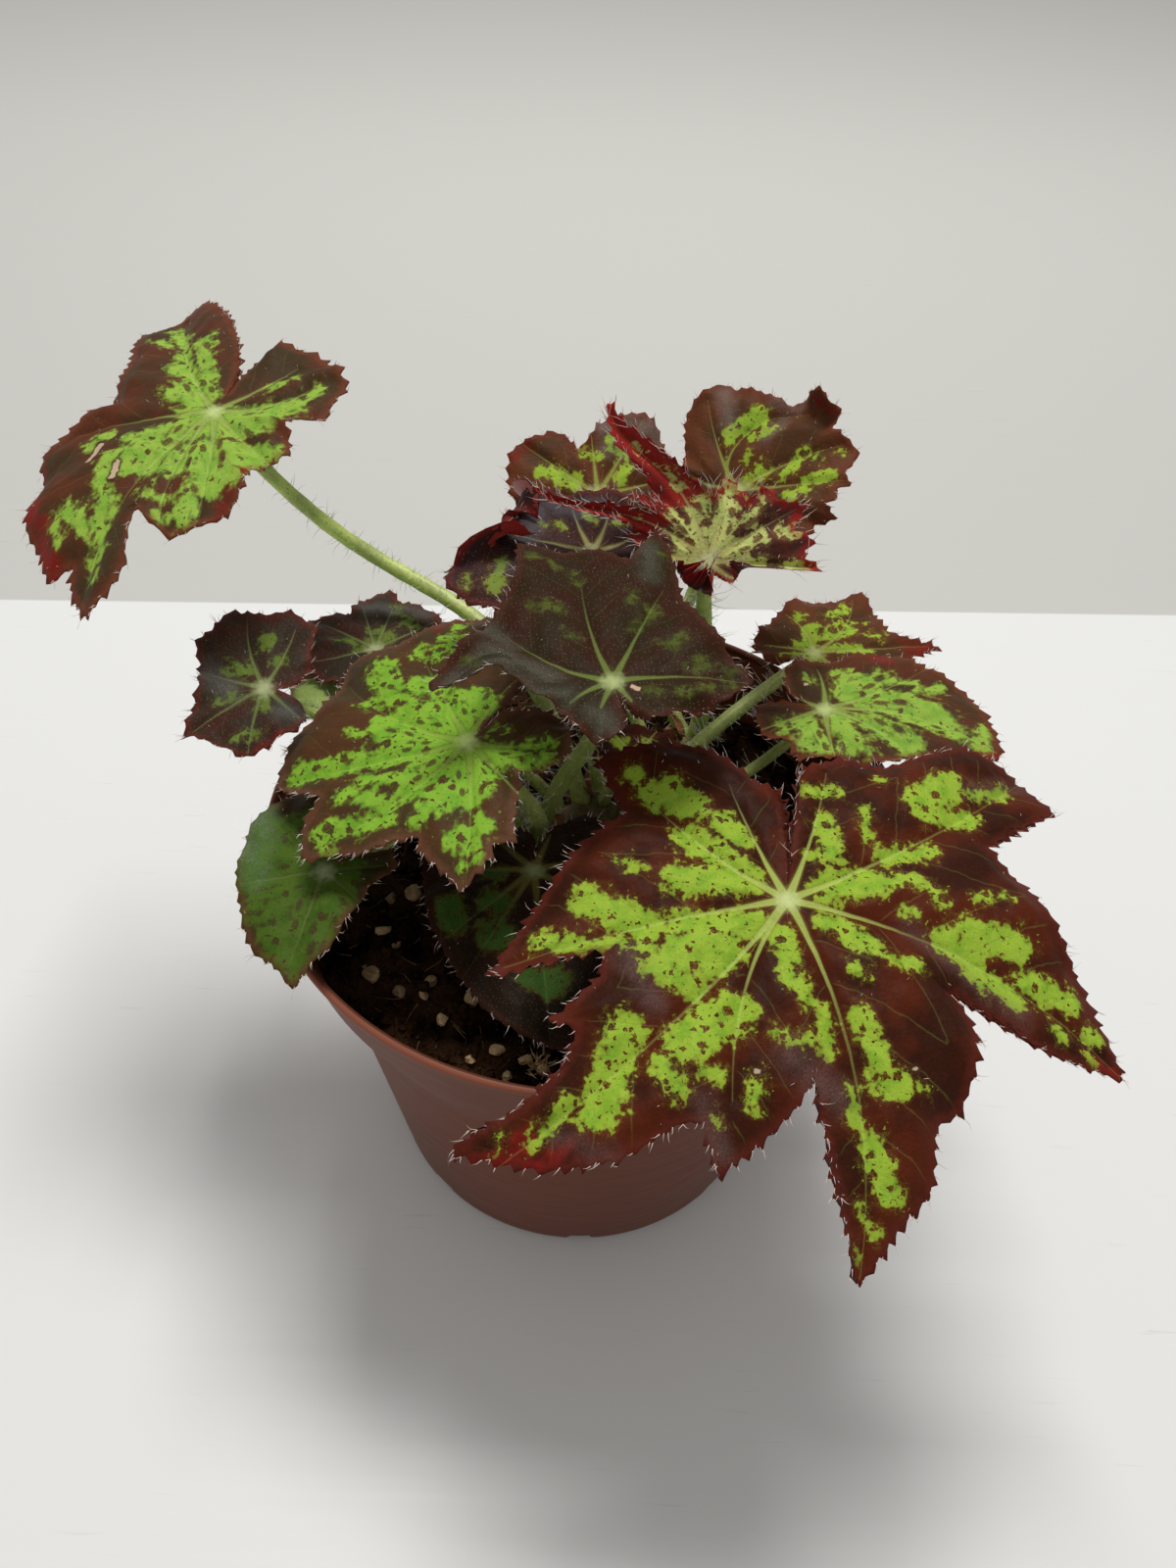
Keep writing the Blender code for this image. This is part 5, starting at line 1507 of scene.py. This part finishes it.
class AddBlades(bpy.types.Operator):
    """Adds every leaf blade, with its teeth, veins and markings, and the hairs on the blades"""

    bl_idname = "begonia.add_blades"
    bl_label = "Leaf Blades"

    def execute(self, context):
        blades = context.scene.begonia.blades
        tops = {look: grouped_material(f"blade_{look}", "Blade marks", values, bump=0.00009,
                                       Specular_IOR_Level=0.05, Sheen_Weight=0.04, Sheen_Roughness=0.4)
                for look, values in BLADE_LOOKS.items()}
        under = grouped_material("blade_underside", "Blade underside", {}, bump=0.0003, Roughness=0.55)
        red_under = grouped_material("blade_underside_red", "Blade underside", dict(
            Ground=(0.30, 0.018, 0.014), Ground_Shade=(0.20, 0.014, 0.014), Vein=(0.34, 0.08, 0.04)),
            bump=0.0003, Roughness=0.45)
        hairs = []
        for number, (name, leaf) in enumerate(LEAVES.items()):
            local, thickness, marks = blade_sheet(leaf, blades, 20 + number)
            rings, columns = local.shape[:2]
            points, faces, stored_marks, axes = blade_mesh(leaf, local, thickness, marks)
            low = red_under if leaf["look"] in ("young", "purple") else under
            add_piece(name.replace("_leaf", "_blade"), points, faces, [tops[leaf["look"]], low],
                      stored_marks, slots=[0, 0, 0, 1, 1], replaces=[name])
            rng = np.random.default_rng(500 + number)
            hairs.append(blade_hairs(leaf, points, columns, rings, axes, blades, rng))
        add_hairs("blade_hair", hairs, blades.hair_colour, seed=77, width=0.075)
        return {"FINISHED"}


class AddStalks(bpy.types.Operator):
    """Adds the hairy stalk of every leaf"""

    bl_idname = "begonia.add_stalks"
    bl_label = "Stalks"

    def execute(self, context):
        stalks = context.scene.begonia.stalks
        light = tuple(stalks.colour)
        skin = speckled("stalk_skin", light, darker(light, 0.7), (0.12, 0.03, 0.015), scale=0.9, flecks=0.5,
                        bump=0.00012, Roughness=0.42, Subsurface_Weight=0.5, Subsurface_Scale=0.006,
                        Subsurface_Radius=(0.6, 1.0, 0.25))
        hairs = []
        for number, (name, leaf) in enumerate(LEAVES.items()):
            points, faces, (line, girth, run, offset) = stalk_mesh(leaf, 60 + number)
            add_piece(name.replace("_leaf", "_stalk"), points, faces, [skin],
                      replaces=[name.replace("_leaf", "_petiole")])
            rng = np.random.default_rng(900 + number)
            count = int(run[-1] * MM / stalks.hair_spacing * min(leaf["hair"], HAIRIEST))
            along = rng.uniform(3.0, len(line) - 3.0, count)
            row = along.astype(int)
            part = (along - row)[:, None]
            side = rng.integers(0, STALK_SIDES, count)
            outward = offset[row, side]
            middle = line[row] * (1.0 - part) + line[row + 1] * part
            roots = middle + 0.93 * girth[row][:, None] * outward
            directions = unit(outward + rng.normal(scale=0.28, size=(count, 3)))
            longest = (0.7 + 0.35 * leaf["hair"]) * stalks.hair_length / MM
            hairs.append([roots, directions, rng.uniform(0.45, 1.3, count) * longest])
        add_hairs("stalk_hair", hairs, stalks.hair_colour, seed=78, width=0.06)
        return {"FINISHED"}


class AddRhizome(bpy.types.Operator):
    """Adds the creeping stem on the soil, ringed by leaf scars, and the dry scales at the stalks"""

    bl_idname = "begonia.add_rhizome"
    bl_label = "Rhizome"

    def execute(self, context):
        stations, sides = 120, 40
        part, side = np.meshgrid(np.linspace(0, 1, stations), np.linspace(-105, 105, sides),
                                 indexing="ij")
        rings = 0.45 * np.sin(part * 2.0 * math.pi * 9.0 + 0.6 * np.sin(np.radians(side))) ** 3
        bumps = rings + 0.5 * lattice_noise(part * 42.0, side / 9.0, 2.2, 12)
        points = rhizome_surface(part, side, bumps)[0].reshape(-1, 3)
        first, last = points[:sides].mean(0, keepdims=True), points[-sides:].mean(0, keepdims=True)
        points = np.vstack([first, points, last])
        end = len(points) - 1
        faces = [grid_faces(stations, sides, 1), fan_faces(0, 1, sides),
                 fan_faces(end, end - sides, sides, True)]
        bark = speckled("rhizome_skin", (0.20, 0.17, 0.06), (0.10, 0.06, 0.03), (0.05, 0.02, 0.01),
                        scale=0.8, flecks=0.6, bump=0.0004)
        add_piece("rhizome_stem", points, faces, [bark], replaces=["rhizome"])

        # Dry scales: a leaf-shaped dished sheet that leans out beside each stalk's root
        rows, columns = 9, 7
        rng = np.random.default_rng(31)
        parts = []
        for leaf in LEAVES.values():
            place, angle, radius, _, _ = leaf["stalk"]
            root, outward = rhizome_surface(place, angle)
            aside = unit(np.cross(outward, rng.normal(size=3)))
            v, u = np.meshgrid(np.linspace(0, 1, rows), np.linspace(-1, 1, columns), indexing="ij")
            length, width = rng.uniform(4.0, 6.5), rng.uniform(1.3, 2.0)
            half = width * np.sin(math.pi * (0.15 + 0.8 * v)) ** 0.8
            lean = unit(outward + 0.45 * np.cross(aside, outward))
            depth = np.cross(aside, lean)
            dish = 0.9 * v * v - 0.35 * width * u * u
            sheet = (root + radius * 1.5 * np.cross(aside, outward) + (half * u)[..., None] * aside
                     + (length * v)[..., None] * lean + dish[..., None] * depth)
            back = sheet + 0.12 * depth
            points = np.vstack([sheet.reshape(-1, 3), back.reshape(-1, 3)])
            front = grid_faces(rows, columns, 0, False)
            rim = np.concatenate([np.arange(columns), np.arange(2, rows + 1) * columns - 1,
                                  np.arange(rows * columns - 2, (rows - 1) * columns - 1, -1),
                                  np.arange(rows - 2, 0, -1) * columns])
            beside = np.roll(rim, -1)
            wall = np.stack([rim, beside, beside + rows * columns, rim + rows * columns], -1)
            parts.append((points, [front, front[:, ::-1] + rows * columns, wall]))
        points, faces = merge(parts)
        dry = speckled("dry_scale", (0.36, 0.17, 0.07), (0.20, 0.07, 0.03), (0.08, 0.02, 0.01),
                       scale=1.2, flecks=0.4, bump=0.0002, Roughness=0.6)
        add_piece("dry_scales", points, faces, [dry])
        return {"FINISHED"}


class AddSoil(bpy.types.Operator):
    """Adds the soil's rough surface with its crumbs, pale grit, fibres and dry straw"""

    bl_idname = "begonia.add_soil"
    bl_label = "Soil"

    def execute(self, context):
        soil = context.scene.begonia.soil
        rings, sides = 110, 300
        radius = np.linspace(0.0, SOIL_RADIUS - 0.2, rings + 1)[1:]
        turn = turns(sides)
        x, y = radius[:, None] * np.cos(turn), radius[:, None] * np.sin(turn)
        top = np.stack([x, y, soil_height(x, y, soil.lumps)], -1)
        depth = 12.0
        low = top[-1].copy()
        low[:, :2] *= 0.93
        low[:, 2] = SOIL_TOP - depth
        points = np.vstack([[(0, 0, soil_height(0.0, 0.0, soil.lumps))], top.reshape(-1, 3), low,
                            [(0, 0, SOIL_TOP - depth)]])
        last = len(points) - 1
        faces = [fan_faces(0, 1, sides), grid_faces(rings + 1, sides, 1),
                 fan_faces(last, last - sides, sides, True)]
        earth = speckled("soil_peat", (0.060, 0.029, 0.013), (0.003, 0.002, 0.0015), (0.14, 0.070, 0.030),
                         scale=0.9, flecks=0.5, bump=0.0015, Roughness=0.97, Specular_IOR_Level=0.05)
        add_piece("soil_bed", points, faces, [earth], replaces=["soil"])

        rng = np.random.default_rng(8)

        def scatter(count):
            """Even random places on the soil."""
            away = np.sqrt(rng.uniform(0.0, 1.0, count)) * (SOIL_RADIUS - 2.0)
            angle = rng.uniform(0.0, 2.0 * math.pi, count)
            px, py = away * np.cos(angle), away * np.sin(angle)
            return np.stack([px, py, soil_height(px, py, soil.lumps)], -1)

        small = (ICO_POINTS, ICO_FACES)
        middle = finer_ball(*small)
        sizes = rng.uniform(0.35, 1.6, soil.crumbs) ** 1.2
        places = scatter(soil.crumbs)
        points, faces = grains(places + np.array([0, 0, 0.2]), sizes, rng, small, 0.7, 0.35, 2)
        add_piece("soil_crumbs", points, faces, [earth])

        grit = speckled("grit_stone", tuple(soil.grit_colour), darker(soil.grit_colour, 0.35),
                        (0.06, 0.03, 0.02), scale=1.0, flecks=0.7, bump=0.0008, Roughness=0.85)
        sizes = rng.uniform(0.6, 1.5, soil.grit)
        places = scatter(soil.grit)
        x, y = np.array(LARGE_GRIT, float).T
        places = np.vstack([places, np.stack([x, y, soil_height(x, y, soil.lumps)], -1)])
        sizes = np.concatenate([sizes, rng.uniform(1.3, 2.1, len(x))])
        points, faces = grains(places + np.array([0, 0, 0.5]), sizes, rng, middle, 0.85, 0.14, 7)
        add_piece("soil_grit", points, faces, [grit]).data.shade_flat()

        count = 260
        places = scatter(count)
        lie = unit(rng.normal(size=(count, 3)) * np.array([1.0, 1.0, 0.25]))
        lengths = rng.uniform(3.0, 9.0, count)
        points, faces = hair_mesh(places + np.array([0, 0, 0.3]), lie, lengths, rng, width=0.16)
        straw = speckled("dry_straw", (0.26, 0.15, 0.065), (0.09, 0.045, 0.02), (0.04, 0.02, 0.01),
                         scale=0.5, flecks=0.3, bump=0.0002, Roughness=0.75)
        add_piece("soil_fibres", points, faces, [straw])

        x, y = TUFT_PLACE
        count = 30
        spread = unit(rng.normal(size=(count, 3)) * np.array([1.0, 1.0, 0.2]) + np.array([0, 0, 0.8]))
        roots = rng.normal(scale=1.1, size=(count, 3)) * np.array([1, 1, 0.1])
        roots = roots + np.array([x, y, soil_height(x, y, soil.lumps) + 0.3])
        points, faces = hair_mesh(roots, spread, rng.uniform(1.8, 4.0, count), rng, width=0.32)
        pale_straw = speckled("pale_straw", (0.92, 0.74, 0.44), (0.66, 0.46, 0.22), (0.10, 0.05, 0.02),
                              scale=0.5, flecks=0.3, bump=0.0002, Roughness=0.7)
        add_piece("straw_tuft", points, faces, [pale_straw])
        return {"FINISHED"}


class AddPot(bpy.types.Operator):
    """Adds the nursery pot: a turned plastic shell with a beaded rim and channels under its foot"""

    bl_idname = "begonia.add_pot"
    bl_label = "Pot"

    def execute(self, context):
        pot = context.scene.begonia.pot
        outer = rounded(POT_PROFILE, 2.0)
        bead = np.radians(np.linspace(-75, 250, 18))
        centre = np.array([RIM_RADIUS, RIM_TOP]) - BEAD_RADIUS
        lip = centre + BEAD_RADIUS * np.stack([np.cos(bead), np.sin(bead)], -1)
        inner = np.array([(radius - POT_WALL, height) for radius, height in POT_PROFILE[:0:-1]])
        inner[-1] = FLOOR_RADIUS, POT_FLOOR
        profile = [(0.0, 0.0), (CHANNEL_INNER_RADIUS, 0.0), (CHANNEL_INNER_RADIUS + 1.0, 0.0),
                   *outer, *lip, *rounded(inner, 4.0), (CHANNEL_INNER_RADIUS + 0.5, POT_FLOOR),
                   (CHANNEL_INNER_RADIUS - 0.5, POT_FLOOR), (0.0, POT_FLOOR)]
        points, faces = turned_piece(profile, pot.sides)
        away = np.hypot(points[:, 0], points[:, 1])
        spacing = 360.0 / FOOT_CHANNELS
        angle = np.degrees(np.arctan2(points[:, 1], points[:, 0])) - CHANNEL_TURN
        aside = np.abs((angle + spacing / 2) % spacing - spacing / 2)
        lifted = 1.0 - ease(aside, 2.2, 3.8)
        low = (points[:, 2] < POT_FLOOR + CHANNEL_HEIGHT - 0.1) & (away > CHANNEL_INNER_RADIUS + 0.2)
        points[:, 2] += np.where(low, CHANNEL_HEIGHT * lifted, 0.0)
        piece = add_piece("pot_shell", points, faces, [pot_material(tuple(pot.colour))],
                          replaces=["nursery_pot"])
        piece.data.set_sharp_from_angle(angle=math.radians(50))
        return {"FINISHED"}


class AddStage(bpy.types.Operator):
    """Adds the pale floor, the soft lights and the camera"""

    bl_idname = "begonia.add_stage"
    bl_label = "Stage"

    def execute(self, context):
        stage = context.scene.begonia.stage
        mesh = bpy.data.meshes.new("floor")
        mesh.from_pydata([(-3, -2, 0), (3, -2, 0), (3, 4, 0), (-3, 4, 0)], [], [(0, 1, 2, 3)])
        mesh.materials.append(floor_material(tuple(stage.floor_colour), tuple(stage.far_shade_colour)))
        floor = bpy.data.objects.new("floor", mesh)
        context.collection.objects.link(floor)

        world = bpy.data.worlds.new("studio")
        world.use_nodes = True
        world.node_tree.nodes["Background"].inputs[0].default_value = (1.0, 0.985, 0.955, 1.0)
        world.node_tree.nodes["Background"].inputs[1].default_value = stage.fill
        context.scene.world = world
        lamp = bpy.data.lights.new("overhead", "AREA")
        lamp.shape = "RECTANGLE"
        lamp.size, lamp.size_y = 0.55, 0.30
        lamp.energy = stage.key_power
        lamp.color = (1.0, 0.985, 0.96)
        light = bpy.data.objects.new("overhead", lamp)
        light.location = LAMP_PLACE
        light.rotation_euler = (-math.atan2(LAMP_PLACE[1], LAMP_PLACE[2] - LAMP_AIM), 0.0, 0.0)
        context.collection.objects.link(light)

        view = bpy.data.cameras.new("view")
        view.lens, view.sensor_width = CAMERA_LENS, 36.0
        camera = bpy.data.objects.new("view", view)
        camera.location = CAMERA_PLACE
        turned = (Matrix.Rotation(math.radians(90.0 - CAMERA_PITCH), 3, "X")
                  @ Matrix.Rotation(math.radians(CAMERA_ROLL), 3, "Z"))
        camera.rotation_euler = turned.to_euler()
        context.collection.objects.link(camera)
        context.scene.camera = camera
        context.scene.view_settings.view_transform = "Standard"
        return {"FINISHED"}


PIECES = (AddBlades, AddStalks, AddRhizome, AddSoil, AddPot, AddStage)


class BegoniaPanel(bpy.types.Panel):
    """Lists the pieces of the begonia with their settings"""

    bl_idname = "VIEW3D_PT_begonia"
    bl_label = "Potted Begonia"
    bl_space_type = "VIEW_3D"
    bl_region_type = "UI"
    bl_category = "Begonia"

    def draw(self, context):
        settings = context.scene.begonia
        for group in ("blades", "stalks", "soil", "pot", "stage"):
            box = self.layout.box()
            values = getattr(settings, group)
            for name in values.__annotations__:
                box.prop(values, name)
        for piece in PIECES:
            self.layout.operator(piece.bl_idname)


CLASSES = (BladeSettings, StalkSettings, SoilSettings, PotSettings, StageSettings, BegoniaSettings,
           *PIECES, BegoniaPanel)


def register():
    for part in CLASSES:
        bpy.utils.register_class(part)
    bpy.types.Scene.begonia = bpy.props.PointerProperty(type=BegoniaSettings)


def unregister():
    del bpy.types.Scene.begonia
    for part in reversed(CLASSES):
        bpy.utils.unregister_class(part)


def main():
    register()
    for piece in PIECES:
        group, name = piece.bl_idname.split(".")
        getattr(getattr(bpy.ops, group), name)()
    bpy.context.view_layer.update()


if __name__ == "__main__":
    main()
